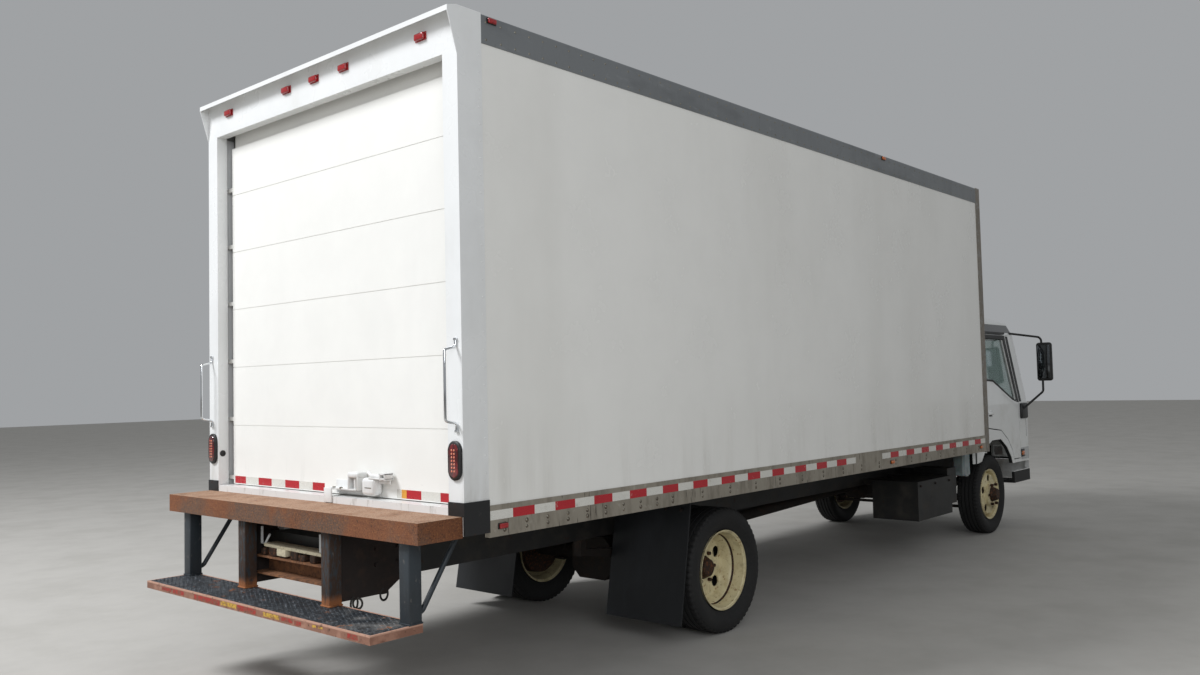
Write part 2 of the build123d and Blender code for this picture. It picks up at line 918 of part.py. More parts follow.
with BuildPart() as cab_underside:
    add(cab_form(cab_wall))
    add(cab_form(cab_wall).moved(Location((-cab_wall - 60, 0, 0))))
    under = [
        (cab_back - 10, cab_low - 10),
        (cab_back - 10, deck_floor - floor_sheet),
        (deck_x - floor_sheet, deck_floor - floor_sheet),
        (deck_x - floor_sheet, foot_floor - floor_sheet),
        (face_x, foot_floor - floor_sheet),
        (face_x, cab_low - 10),
    ]
    plate(at_y(0), under, half_box, both=True, mode=Mode.INTERSECT)

with BuildPart() as window_cuts:
    plate(at_x(face_x - 800), windscreen, 820, rounding=70)
    plate(at_x(cab_back - 10), rear_window, 120, rounding=60)

# the floor behind each door stays, cut back only enough for the door to swing
with BuildPart() as door_cuts:
    for side, name in sides:
        plate(at_y(side * 700), door_outline, -side * 500, grow=door_gap)
    add(cab_form(cab_wall + door_gap), mode=Mode.SUBTRACT)

with BuildPart() as lamp_cuts:
    for side, name in sides:
        slab((door_front + 14, face_x), (side * lamp_inner_y, side * half_box), lamp_band)

with BuildPart() as grille_cut:
    plate(at_x(face_x - 300), grille_outline, 300)

# Door hinges: short barrels in the gap at the door's front edge, stacked on one axis
hinge_x = door_front + door_gap / 2
hinge_y = 1026
hinge_heights = (880, 1240)
hinge_block = 6
hinge_pin = 9
hinge_leaf = 14
hinge_half = 40


def hinge_knuckle(side, reach, low, high):
    """One block of a door hinge with the leaf that joins it to the edge at reach."""
    half = hinge_block / 2
    slab((hinge_x - half, hinge_x + half), (side * (hinge_y - half), side * (hinge_y + half)), (low, high))
    slab((hinge_x, hinge_x + reach), (side * (hinge_y - hinge_leaf), side * hinge_y), (low, high))


lug_y = 300
lug_bore = tilt_tube_diameter + 2 * running_fit
with BuildPart() as cab_shell:
    add(cab_form(0))
    add(cab_room.part, mode=Mode.SUBTRACT)
    add(cab_underside.part, mode=Mode.SUBTRACT)
    add(window_cuts.part, mode=Mode.SUBTRACT)
    add(lamp_cuts.part, mode=Mode.SUBTRACT)
    add(grille_cut.part, mode=Mode.SUBTRACT)
    add(door_cuts.part, mode=Mode.SUBTRACT)
    plate(at_y(0), wheel_arch, half_box, both=True, mode=Mode.SUBTRACT)
    for side, name in sides:
        lug = [
            (tilt_x - 90, foot_floor - floor_sheet),
            (tilt_x - 38, tilt_height - 38),
            (tilt_x + 38, tilt_height - 38),
            (tilt_x + 38, foot_floor - floor_sheet),
        ]
        for height in hinge_heights:
            hinge_knuckle(side, door_gap, height - hinge_leaf, height + hinge_leaf)
        plate(at_y(side * lug_y), lug, 10, both=True)
        shaft(
            (tilt_x, side * (lug_y - 20), tilt_height),
            (tilt_x, side * (lug_y + 20), tilt_height),
            lug_bore,
            mode=Mode.SUBTRACT,
        )
finish(cab_shell, "cab_shell")

with BuildPart() as cab_glass:
    add(cab_form(glass_inset))
    add(cab_form(glass_inset + glass_thickness), mode=Mode.SUBTRACT)
    add(window_cuts.part, mode=Mode.INTERSECT)
finish(cab_glass, "cab_glass")

for side, name in sides:
    with BuildPart() as cab_door:
        add(cab_form(0))
        add(cab_form(cab_wall), mode=Mode.SUBTRACT)
        plate(at_y(side * 700), door_outline, -side * 500, mode=Mode.INTERSECT)
        plate(at_y(side * 700), side_window, -side * 500, rounding=24, mode=Mode.SUBTRACT)
        for height in hinge_heights:
            leaf_edge = height - hinge_leaf - seat_gap
            hinge_knuckle(side, -door_gap, height - hinge_half, leaf_edge)
            leaf_edge = height + hinge_leaf + seat_gap
            hinge_knuckle(side, -door_gap, leaf_edge, height + hinge_half)
        pin_top = hinge_heights[1] + hinge_half
        shaft(
            (hinge_x, side * hinge_y, pin_top),
            (hinge_x, side * hinge_y, pin_top + hinge_leaf),
            hinge_pin,
        )
    finish(cab_door, f"door_{name}")

    with BuildPart() as door_glass:
        add(cab_form(glass_inset))
        add(cab_form(glass_inset + glass_thickness), mode=Mode.SUBTRACT)
        plate(at_y(side * 700), side_window, -side * 500, rounding=24, mode=Mode.INTERSECT)
    finish(door_glass, f"door_glass_{name}")

with BuildPart() as headlamps:
    add(cab_form(0))
    add(cab_form(cab_wall), mode=Mode.SUBTRACT)
    add(lamp_cuts.part, mode=Mode.INTERSECT)
finish(headlamps, "headlamps")

grille_bars = 4
with BuildPart() as grille:
    add(cab_form(12))
    add(cab_form(cab_wall), mode=Mode.SUBTRACT)
    add(grille_cut.part, mode=Mode.INTERSECT)
    bar_pitch = (grille_outline[2][1] - grille_outline[0][1]) / grille_bars
    for count in range(grille_bars - 1):
        level = grille_outline[0][1] + (count + 1) * bar_pitch
        slab(
            (face_x - 300, face_x),
            (-540, 540),
            (level - 6, level + 6),
            mode=Mode.SUBTRACT,
        )
finish(grille, "grille")

# Front bumper with the step wells at its ends
step_well_x = front_axle_x + 495
with BuildPart() as front_bumper:
    outer = plan(bumper_low, cab_back, face_x, bumper_half, bumper_corner, 1)
    inner = plan(
        bumper_low,
        cab_back - 50,
        face_x - bumper_wall,
        bumper_half - bumper_wall,
        bumper_corner - 20,
        1,
    )
    height = bumper_top - bumper_low
    extrude(Face(Wire(outer)), amount=height, dir=(0, 0, 1))
    extrude(Face(Wire(inner)), amount=height, dir=(0, 0, 1), mode=Mode.SUBTRACT)
    slab(
        (cab_back - 60, step_well_x),
        (-half_box, half_box),
        (bumper_low - 10, bumper_top + 10),
        mode=Mode.SUBTRACT,
    )
    # ends stepped down, so that the tilting cab clears them
    slab(
        (cab_back - 60, face_x - 50),
        (-half_box, half_box),
        (bumper_top - bumper_step, bumper_top + 10),
        mode=Mode.SUBTRACT,
    )
    for side, name in sides:
        slab((step_well_x, step_well_x + 260), (side * 800, side * 1000), (bumper_low, bumper_low + 30))
        arm = [
            (rail_front - 100, rail_low),
            (rail_front, rail_low),
            (rail_front + 20, bumper_low + 135),
            (face_x - bumper_wall / 2, bumper_low + 135),
            (face_x - bumper_wall / 2, bumper_low + 30),
            (rail_front - 50, bumper_low + 30),
            (rail_front - 100, bumper_low + 90),
        ]
        plate(at_y(side * half_frame), arm, side * 30)
        slab(
            (step_well_x + 60, step_well_x + 110),
            (side * half_frame, side * 805),
            (bumper_low, bumper_low + 30),
        )
        slab(
            (step_well_x + 60, step_well_x + 110),
            (side * half_frame, side * (half_frame + 8)),
            (bumper_low, rail_low + 80),
        )
finish(front_bumper, "front_bumper")

# Mirrors: an arm from the pillar top to the cab corner, with a tall housing on it
mirror_y = (1186, 1347)
mirror_z = (1572, 1995)
mirror_x = face_x - 262
arm_width = 22
with BuildPart() as mirrors:
    for side, name in sides:
        arm_y = side * (mirror_y[0] + 60)
        arm_high = (mirror_x - 10, arm_y, mirror_z[1] - 40)
        bar((mirror_x - 290, side * 900, 2110), arm_high, arm_width)
        arm_low = (mirror_x - 10, arm_y, mirror_z[0] + 40)
        bar((mirror_x - 110, side * 1000, 1262), arm_low, arm_width)
        slab(
            (mirror_x - 50, mirror_x + 30),
            (side * mirror_y[0], side * mirror_y[1]),
            mirror_z,
        )
        slab((mirror_x - 160, mirror_x - 40), (side * 1000, side * 1052), (1200, 1300))
    add(cab_form(-seat_gap), mode=Mode.SUBTRACT)
finish(mirrors, "mirrors")

# Inside the cab: dash, steering column and wheel, seats
with BuildPart() as dashboard:
    add(cab_form(cab_wall + seat_gap))
    dash = [
        (face_x, 1335),
        (face_x - 430, 1325),
        (face_x - 540, 1265),
        (face_x - 520, 1110),
        (face_x - 400, 1060),
        (face_x, 1060),
    ]
    plate(at_y(0), dash, 935, both=True, mode=Mode.INTERSECT)
finish(dashboard, "dashboard")

driver_y = 520
wheel_ring_radius = 215
wheel_ring_tube = 13
wheel_ring_sides = 24
column_top = (face_x - 866, driver_y, 1640)
column_foot = (face_x - 566, driver_y, foot_floor)
with BuildPart() as steering_wheel:
    lean = Vector(*column_top) - Vector(*column_foot)
    wheel_plane = Plane(origin=column_top, x_dir=(0, 1, 0), z_dir=lean)
    with BuildSketch(wheel_plane.offset(-wheel_ring_tube)) as ring:
        RegularPolygon(wheel_ring_radius + wheel_ring_tube, wheel_ring_sides)
        RegularPolygon(wheel_ring_radius - wheel_ring_tube, wheel_ring_sides, mode=Mode.SUBTRACT)
    extrude(ring.sketch, amount=2 * wheel_ring_tube)
    with BuildSketch(wheel_plane.offset(-12)) as spokes:
        Rectangle(110, 110)
        for turn in (0, 180, 270):
            with Locations(Location((0, 0, 0), (0, 0, turn))):
                with Locations((wheel_ring_radius / 2, 0)):
                    Rectangle(wheel_ring_radius, 36)
    extrude(spokes.sketch, amount=18)
    bar(column_top, column_foot, 56)
    slab(
        (column_foot[0] - 60, column_foot[0] + 60),
        (driver_y - 60, driver_y + 60),
        (foot_floor - 60, foot_floor),
        mode=Mode.SUBTRACT,
    )
finish(steering_wheel, "steering_wheel")

seat_places = (
    # middle, width
    (driver_y, 500),
    (-330, 960),
)
seat_side = [
    (cab_back + 60, deck_floor),
    (cab_back + 600, deck_floor),
    (cab_back + 640, deck_floor + 140),
    (cab_back + 200, deck_floor + 120),
    (cab_back + 140, deck_floor + 740),
    (cab_back + 60, deck_floor + 740),
]
with BuildPart() as seats:
    for middle, width in seat_places:
        plate(at_y(middle), seat_side, width / 2, both=True)
finish(seats, "seats")

# Steering: knuckles with their spindles, and the tie rod behind the beam
web_gap = 50
web_thickness = 28
for side, name in sides:
    with BuildPart() as knuckle:
        web_y = (kingpin_y + web_gap, kingpin_y + web_gap + web_thickness)
        slab(
            (front_axle_x - 50, front_axle_x + 50),
            (side * web_y[0], side * web_y[1]),
            (wheel_z - 90, wheel_z + 90),
        )
        for low, high in ((wheel_z - 90, wheel_z - 50), (wheel_z + 50, wheel_z + 90)):
            slab(
                (front_axle_x - 42, front_axle_x + 42),
                (side * (kingpin_y - 42), side * web_y[0]),
                (low, high),
            )
        shaft(
            (front_axle_x, side * kingpin_y, wheel_z - 50),
            (front_axle_x, side * kingpin_y, wheel_z + 50),
            kingpin_diameter,
        )
        shaft(
            (front_axle_x, side * web_y[1], wheel_z),
            (front_axle_x, side * (front_track / 2 + 95), wheel_z),
            spindle_diameter,
        )
        slab(
            (front_axle_x - steer_arm - 30, front_axle_x - 30),
            (side * (kingpin_y - 22), side * (kingpin_y + 22)),
            (arm_height, wheel_z - 70),
        )
    finish(knuckle, f"knuckle_{name}")

with BuildPart() as tie_rod:
    rod_x = front_axle_x - steer_arm
    rod_z = arm_height - 30
    slab((rod_x - 14, rod_x + 14), (-kingpin_y - 15, kingpin_y + 15), (rod_z - 14, rod_z + 14))
    for side, name in sides:
        shaft((rod_x, side * kingpin_y, rod_z), (rod_x, side * kingpin_y, arm_height - 0.3), 24)
finish(tie_rod, "tie_rod")

# Wheels: front singles dished outward, rear twins back to back on one hub
rim_edge = rim_width / 2
barrel = rim_radius - rim_wall
bore_radius = spindle_diameter / 2 + running_fit
front_hub_end = 176
tyre_profile = [
    (-tyre_width / 2, rim_radius),
    (-tyre_width / 2, tyre_radius),
    (tyre_width / 2, tyre_radius),
    (tyre_width / 2, rim_radius),
]
disc_face = 34
disc_back = 36
front_wheel_profile = [
    (-disc_back, bore_radius),
    (-disc_back, rim_radius),
    (rim_edge, rim_radius),
    (rim_edge, barrel),
    (disc_face, barrel),
    (disc_face, hub_diameter / 2),
    (front_hub_end, hub_diameter / 2),
    (front_hub_end, 0),
    (100, 0),
    (100, bore_radius),
]
axle_bore_radius = axle_tube_diameter / 2 + running_fit
rear_disc_face = rear_track / 2 + disc_thickness
rear_wheel_profile = [
    (dual_outer + rim_edge, rim_radius),
    (dual_outer + rim_edge, barrel),
    (rear_disc_face, barrel),
    (rear_disc_face, hub_diameter / 2),
    (dual_outer - 20, hub_diameter / 2),
    (dual_outer - 20, 0),
    (spindle_end + 5, 0),
    (spindle_end + 5, axle_bore_radius),
    (drum_inner_y, axle_bore_radius),
    (drum_inner_y, rim_radius),
]


for side, name in sides:
    with BuildPart() as front_tyre:
        turned(front_axle_x, side * front_track / 2, wheel_z, side, tyre_profile)
    finish(front_tyre, f"front_tyre_{name}")

    with BuildPart() as front_wheel:
        turned(front_axle_x, side * front_track / 2, wheel_z, side, front_wheel_profile)
    finish(front_wheel, f"front_wheel_{name}")

    with BuildPart() as rear_tyres:
        for centre in (dual_inner, dual_outer):
            turned(rear_axle_x, side * centre, wheel_z, side, tyre_profile)
    finish(rear_tyres, f"rear_tyres_{name}")

    with BuildPart() as rear_wheels:
        turned(rear_axle_x, 0, wheel_z, side, rear_wheel_profile)
    finish(rear_wheels, f"rear_wheels_{name}")
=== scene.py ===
"""Looks for the box truck, laid out as an add-on and run as a script, in metres on the CAD frame.

+X points to the truck's front, +Y to its left and +Z up. Sizes in tables are in millimetres.
"""

import math

import bmesh
import bpy
from bpy.props import FloatProperty, FloatVectorProperty, IntProperty, PointerProperty
from mathutils import Matrix, Vector


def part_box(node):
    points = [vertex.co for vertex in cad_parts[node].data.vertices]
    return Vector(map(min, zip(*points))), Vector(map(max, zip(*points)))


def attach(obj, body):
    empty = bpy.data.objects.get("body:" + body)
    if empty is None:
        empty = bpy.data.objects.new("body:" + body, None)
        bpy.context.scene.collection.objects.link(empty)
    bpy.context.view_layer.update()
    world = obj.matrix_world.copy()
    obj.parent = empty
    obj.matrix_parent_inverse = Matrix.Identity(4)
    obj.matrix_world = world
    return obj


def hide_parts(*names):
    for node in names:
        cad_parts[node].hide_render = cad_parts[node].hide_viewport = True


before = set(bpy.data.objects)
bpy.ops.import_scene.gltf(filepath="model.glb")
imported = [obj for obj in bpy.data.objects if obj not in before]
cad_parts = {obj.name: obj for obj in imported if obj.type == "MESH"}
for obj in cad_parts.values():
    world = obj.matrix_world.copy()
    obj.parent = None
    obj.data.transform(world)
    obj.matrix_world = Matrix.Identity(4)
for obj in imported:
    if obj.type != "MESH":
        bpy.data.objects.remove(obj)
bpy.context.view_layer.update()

bl_info = {
    "name": "Box truck looks",
    "version": (1, 0, 0),
    "blender": (4, 5, 0),
    "location": "View3D > Sidebar > Truck",
    "description": "Dresses the packed box truck with its finishes and small pieces",
    "category": "Object",
}

MM = 0.001
SIDES = ((1, "left"), (-1, "right"))
EVEN = (1, 1, 1)

# Places taken from the CAD nodes, so that every piece sits on what carries it
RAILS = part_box("box_rails")
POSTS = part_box("rear_posts")
FRONT_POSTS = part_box("front_posts")
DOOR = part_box("roll_up_door")
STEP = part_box("rear_step")
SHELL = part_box("cab_shell")
CAB_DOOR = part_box("door_left")
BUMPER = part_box("front_bumper")
REAR_X = POSTS[0].x
HALF_BOX = POSTS[1].y
FACE_X = BUMPER[1].x
POST_WIDTH = 0.110
POST_INNER = HALF_BOX - POST_WIDTH

# Places read from the photograph, in metres: y counts from the truck's middle
LAMP_Y, LAMP_Z = 1.166, 1.292
HANDLE_Y = 1.180
STEP_POST_Y = (1.055, 0.412)
STEP_POST_WIDTH = 0.075

# Above the sill the cab's front leans back and its cheeks lean in, by so much over that height
CAB_HALF, SILL_Z = 1.030, 1.34
LEAN_HEIGHT, FRONT_LEAN, CHEEK_LEAN = 0.740, 0.270, 0.040
DRIVER_Y = 0.520

# Corners of the window in a cab door, as x and z
WINDOW = (
    (CAB_DOOR[0].x + 0.062, 1.600), (CAB_DOOR[0].x + 0.240, 1.592), (CAB_DOOR[1].x - 0.190, 1.392),
    (CAB_DOOR[1].x - 0.066, 1.352), (CAB_DOOR[1].x - 0.322, 2.035), (CAB_DOOR[0].x + 0.062, 2.035),
)


def linear(code):
    """A colour from its sRGB hex value, in the linear light that a shader takes."""
    values = [int(code[i : i + 2], 16) / 255 for i in (1, 3, 5)]
    return tuple(v / 12.92 if v <= 0.04045 else ((v + 0.055) / 1.055) ** 2.4 for v in values)


def paint(code):
    """A colour with its opacity, for a socket."""
    return (*linear(code), 1.0)


class TruckSizes(bpy.types.PropertyGroup):
    """Sizes of the small pieces, in metres."""

    tape_pitch: FloatProperty(
        name="Tape pitch", description="Length of one colour of tape", default=0.15, unit="LENGTH"
    )
    tape_height: FloatProperty(
        name="Tape height", description="Height of the tape on the rails",
        default=0.045, unit="LENGTH"
    )
    tape_film: FloatProperty(
        name="Tape film", description="How far the tape stands proud", default=0.0008, unit="LENGTH"
    )
    rivet_radius: FloatProperty(
        name="Rivet radius", description="Radius of a rivet's head", default=0.0065, unit="LENGTH"
    )
    rivet_height: FloatProperty(
        name="Rivet height", description="Height of a rivet's head", default=0.0028, unit="LENGTH"
    )
    grip_pitch: FloatProperty(
        name="Grip pitch", description="Spacing of the step's grip teeth",
        default=0.024, unit="LENGTH"
    )
    tread_depth: FloatProperty(
        name="Tread depth", description="Depth of the tyre's grooves", default=0.012, unit="LENGTH"
    )
    tread_blocks: IntProperty(
        name="Tread blocks", description="Shoulder blocks round a tyre", default=60, min=12
    )
    handle_radius: FloatProperty(
        name="Handle radius", description="Radius of the grab handles' bar",
        default=0.007, unit="LENGTH"
    )
    seal_radius: FloatProperty(
        name="Seal radius", description="Half width of the window rubbers",
        default=0.009, unit="LENGTH"
    )


class TruckColours(bpy.types.PropertyGroup):
    """Colours of the main finishes, as linear light."""

    body_white: FloatVectorProperty(
        name="Body white", description="Enamel of panels and door",
        subtype="COLOR", default=linear("#EDECE7"),
    )
    cab_white: FloatVectorProperty(
        name="Cab white", description="Enamel of cab and bumper",
        subtype="COLOR", default=linear("#E9EAE8"),
    )
    rail_grey: FloatVectorProperty(
        name="Rail grey", description="Weathered aluminium rails",
        subtype="COLOR", default=linear("#A39C8F"),
    )
    post_white: FloatVectorProperty(
        name="Post white", description="Enamel of the rear frame",
        subtype="COLOR", default=linear("#E6E7E6"),
    )
    rust: FloatVectorProperty(
        name="Rust", description="Rusted platform steel", subtype="COLOR", default=linear("#7A4A2E")
    )
    step_post: FloatVectorProperty(
        name="Step post", description="Worn paint of the step's posts",
        subtype="COLOR", default=linear("#2B3339"),
    )
    wheel_ivory: FloatVectorProperty(
        name="Wheel ivory", description="Paint of the disc wheels",
        subtype="COLOR", default=linear("#D9CDA4"),
    )
    tape_red: FloatVectorProperty(
        name="Tape red", description="Reflective red tape",
        subtype="COLOR", default=linear("#B3202B")
    )
    tape_white: FloatVectorProperty(
        name="Tape white", description="Reflective white tape",
        subtype="COLOR", default=linear("#D8D6CE")
    )
    lens_red: FloatVectorProperty(
        name="Lens red", description="Red lamp lenses", subtype="COLOR", default=linear("#A31218")
    )


# Materials

MATERIALS = {}

DUST = "#8E8676"
SOOT = "#1A1917"
RUST_DARK = "#3E2417"
RUST_LIGHT = "#A0643A"

# Fades as (axis, full, gone): the rails above the door, and the raised bars of the platform's plate
ABOVE_DOOR = (2, 3.10, 3.05)
PLATE_TOP = (2, 1.0302, 1.0290)

# Width in millimetres of the broad uneven shade under every finish
SHADE_SIZE = 420

# What the wave texture's scale is multiplied by, to count ribs by their pitch
BAND = 3.1416 / 6.283


def add_node(tree, kind, inputs=None, **settings):
    """Adds a node with its own settings, and its sockets' values or links by name or number."""
    node = tree.nodes.new(kind)
    for name, value in settings.items():
        setattr(node, name, value)
    for key, value in (inputs or {}).items():
        if isinstance(value, bpy.types.NodeSocket):
            tree.links.new(value, node.inputs[key])
        else:
            node.inputs[key].default_value = value
    return node


def stretched(tree, place, stretch):
    """The place with each axis scaled."""
    scaled = add_node(tree, "ShaderNodeVectorMath", {0: place, 1: stretch}, operation="MULTIPLY")
    return scaled.outputs[0]


def smooth_range(tree, value, low, high, start, end):
    """A value eased from start to end as it goes from low to high."""
    ranges = {0: value, 1: low, 2: high, 3: start, 4: end}
    return add_node(tree, "ShaderNodeMapRange", ranges, interpolation_type="SMOOTHSTEP").outputs[0]


def noise_mask(tree, place, size, low, high, strength, stretch=EVEN):
    """Where a mark shows: a noise of that size in millimetres, cut between low and high."""
    scaled = stretched(tree, place, stretch)
    look = {"Vector": scaled, "Scale": 1000 / size, "Detail": 4.0, "Roughness": 0.62}
    noise = add_node(tree, "ShaderNodeTexNoise", look)
    return smooth_range(tree, noise.outputs[0], low, high, 0.0, strength)


def fade_mask(tree, place, axis, start, end):
    """One at start and nothing at end, along an axis, in metres."""
    parts = add_node(tree, "ShaderNodeSeparateXYZ", {0: place})
    return smooth_range(tree, parts.outputs[axis], start, end, 1.0, 0.0)


def lay_mark(tree, place, mark, tone, rough):
    """The colour and roughness with a mark laid over them."""
    mask = noise_mask(
        tree, place, mark["size"], mark["low"], mark["high"],
        mark["strength"], mark.get("stretch", EVEN)
    )
    for fade in mark.get("fades", ()):
        reach = fade_mask(tree, place, *fade)
        product = add_node(tree, "ShaderNodeMath", {0: mask, 1: reach}, operation="MULTIPLY")
        mask = product.outputs[0]
    over = paint(mark["colour"])
    tone = add_node(tree, "ShaderNodeMix", {0: mask, 6: tone, 7: over}, data_type="RGBA").outputs[2]
    if "rough" in mark:
        rough = add_node(tree, "ShaderNodeMix", {0: mask, 2: rough, 3: mark["rough"]}).outputs[0]
    return tone, rough


def lay_bump(tree, place, bump, shape):
    """The surface's normal with a bump laid over it: cells, bands across Y, or plain noise."""
    kind = bump.get("kind")
    look = {
        "Vector": stretched(tree, place, bump.get("stretch", EVEN)), "Scale": 1000 / bump["size"]
    }
    if kind == "cells":
        height = add_node(tree, "ShaderNodeTexVoronoi", look).outputs[0]
    elif kind == "bands":
        look["Scale"] *= BAND
        height = add_node(tree, "ShaderNodeTexWave", look, bands_direction="Y").outputs["Fac"]
    else:
        height = add_node(tree, "ShaderNodeTexNoise", {**look, "Detail": 3.0}).outputs[0]
    sockets = {"Strength": 1.0, "Distance": bump["height"] * MM, "Height": height}
    if shape is not None:
        sockets["Normal"] = shape
    return add_node(tree, "ShaderNodeBump", sockets).outputs[0]


def surface(name, colour, roughness, *layers, metallic=0.0, spread=0.06, **shader):
    """A finish in object coordinates, kept in MATERIALS: a colour under marks and bumps.

    The colour is a hex value or a colour setting, and layers are rows of mark, zone and bump.
    """
    material = MATERIALS[name] = bpy.data.materials.new(name)
    material.use_nodes = True
    tree = material.node_tree
    tree.nodes.clear()
    place = add_node(tree, "ShaderNodeTexCoord").outputs["Object"]
    base = paint(colour) if isinstance(colour, str) else (*colour, 1.0)
    darker = (*(c * (1 - spread) for c in base[:3]), 1.0)
    shade = noise_mask(tree, place, SHADE_SIZE, 0.35, 0.7, 1.0)
    blend = {0: shade, 6: base, 7: darker}
    tone = add_node(tree, "ShaderNodeMix", blend, data_type="RGBA").outputs[2]
    least, most = max(roughness - 0.04, 0.02), min(roughness + 0.05, 1.0)
    ranges = {0: shade, 1: 0.0, 2: 1.0, 3: least, 4: most}
    rough = add_node(tree, "ShaderNodeMapRange", ranges).outputs[0]
    shape = None
    for layer in layers:
        if "colour" in layer:
            tone, rough = lay_mark(tree, place, layer, tone, rough)
        else:
            shape = lay_bump(tree, place, layer, shape)
    sockets = {"Base Color": tone, "Roughness": rough, "Metallic": metallic}
    sockets.update({key.replace("_", " "): value for key, value in shader.items()})
    if shape is not None:
        sockets["Normal"] = shape
    shader_node = add_node(tree, "ShaderNodeBsdfPrincipled", sockets)
    add_node(tree, "ShaderNodeOutputMaterial", {0: shader_node.outputs[0]}).is_active_output = True
    return material


def mark(colour, size, low, high, strength, **more):
    """A layer of colour in patches of that size. It may have stretch, fades and rough."""
    return dict(colour=colour, size=size, low=low, high=high, strength=strength, **more)


def zone(colour, *fades, **more):
    """A mark that covers a whole zone, bounded by fades along the axes."""
    return mark(colour, 400, -2.0, -1.0, 1.0, fades=fades, **more)


def bump(size, height, **more):
    """A layer of relief, both in millimetres. It may have stretch and kind."""
    return dict(size=size, height=height, **more)


# Patches and road dust that cab and doors share
CAB_WEAR = (
    mark("#BDB9AE", 300, 0.5, 0.8, 0.3),
    mark(DUST, 120, 0.42, 0.78, 0.45, fades=[(2, 0.7, 1.1)], rough=0.55),
)


def body_materials(colours):
    """Finishes of the van body."""
    # baked enamel on riveted sheet: bright and smooth, long soft waves, road film low down
    surface(
        "enamel_panel_white", colours.body_white, 0.24,
        mark("#D3D1CA", 900, 0.42, 0.75, 0.3, stretch=(1, 1, 0.25)),
        mark(DUST, 160, 0.45, 0.8, 0.22, stretch=(1, 1, 0.12), fades=[(2, 1.1, 1.6)], rough=0.5),
        mark("#9A9486", 22, 0.7, 0.8, 0.22, stretch=(1, 1, 0.3)),
        bump(1400, 1.2, stretch=(1, 1, 0.6)), bump(3, 0.01), spread=0.03, Coat_Weight=0.25,
    )
    # enamelled plywood door panels: the same white with scrapes and hand marks near the latch
    surface(
        "enamel_door_white", colours.body_white, 0.34,
        mark("#DEDDD9", 600, 0.45, 0.75, 0.4, stretch=(1, 1, 0.35)),
        mark(
            "#8C8B88", 30, 0.72, 0.8, 0.6, stretch=(1, 0.4, 2.0), fades=[(2, 1.15, 2.2)], rough=0.6
        ),
        mark(
            "#A9A69F", 120, 0.55, 0.8, 0.35, stretch=(1, 1, 0.2), fades=[(2, 1.08, 1.3)], rough=0.6
        ),
        bump(700, 1.0, stretch=(1, 1, 0.5)), bump(4, 0.02), spread=0.04,
    )
    # brushed-on enamel over steel posts, chipped at the foot
    surface(
        "enamel_post_white", colours.post_white, 0.3,
        mark("#BDBAB1", 260, 0.5, 0.8, 0.18, stretch=(1, 1, 0.2)),
        mark(RUST_DARK, 18, 0.7, 0.74, 0.8, fades=[(2, 0.95, 1.5)], rough=0.85),
        mark(DUST, 120, 0.4, 0.8, 0.5, stretch=(1, 1, 0.2), fades=[(2, 0.95, 1.5)], rough=0.6),
        bump(700, 0.25), bump(5, 0.02),
    )
    # extruded aluminium weathered to beige grey, streaked below each rivet
    surface(
        "weathered_aluminium", colours.rail_grey, 0.48,
        mark("#6E665A", 90, 0.42, 0.72, 0.55, stretch=(1, 1, 0.3), rough=0.7),
        mark("#3B342B", 22, 0.62, 0.72, 0.65, stretch=(1, 1, 0.16), rough=0.8),
        mark("#C9C3B6", 60, 0.6, 0.75, 0.4),
        zone("#85888A", ABOVE_DOOR),
        mark("#5F6163", 260, 0.5, 0.78, 0.5, stretch=(0.3, 1, 1), fades=[ABOVE_DOOR]),
        mark("#A3A6A8", 40, 0.6, 0.76, 0.35, stretch=(0.3, 1, 1), fades=[ABOVE_DOOR]),
        bump(60, 0.08), bump(7, 0.03), metallic=0.55, spread=0.12,
    )
    # rings of dark grime, dull and crusted, that make each rivet read
    surface(
        "rivet_grime", "#4A4136", 0.85,
        mark("#8A7E6C", 12, 0.5, 0.62, 0.7),
        bump(4, 0.1), metallic=0.1,
    )
    # galvanised front posts: warm grey with faint spangle
    surface(
        "galvanised_steel", "#857D72", 0.5,
        mark("#A7ABAD", 30, 0.5, 0.66, 0.4),
        mark("#5B5C5B", 150, 0.5, 0.78, 0.45, stretch=(1, 1, 0.2), rough=0.65),
        bump(40, 0.03, kind="cells"), metallic=0.45,
    )
    # plate bent for kicks and ramps, black paint worn through
    surface(
        "black_scuff_plate", "#17181A", 0.42,
        mark("#6B675F", 45, 0.62, 0.72, 0.6, stretch=(1, 1, 0.5), rough=0.5),
        mark(RUST_DARK, 30, 0.62, 0.7, 0.7, rough=0.85),
        bump(30, 0.15),
    )
    # worn boards with dark grain inside, a pale edge at the door and a black end beam
    surface(
        "varnished_floor_boards", "#6E5136", 0.55,
        mark("#4A3523", 60, 0.4, 0.7, 0.6, stretch=(0.06, 1, 1)),
        mark(SOOT, 260, 0.5, 0.8, 0.5, rough=0.8),
        zone("#DDDDDB", (0, REAR_X + 0.15, REAR_X + 0.155), rough=0.35),
        mark(
            "#8A857B", 60, 0.55, 0.72, 0.6, stretch=(1, 1, 0.4),
            fades=[(0, REAR_X + 0.15, REAR_X + 0.155)],
        ),
        zone("#1B1B1A", (2, 1.015, 1.02), (0, REAR_X + 0.155, REAR_X + 0.15)),
        bump(30, 0.2, stretch=(0.05, 1, 1)),
    )


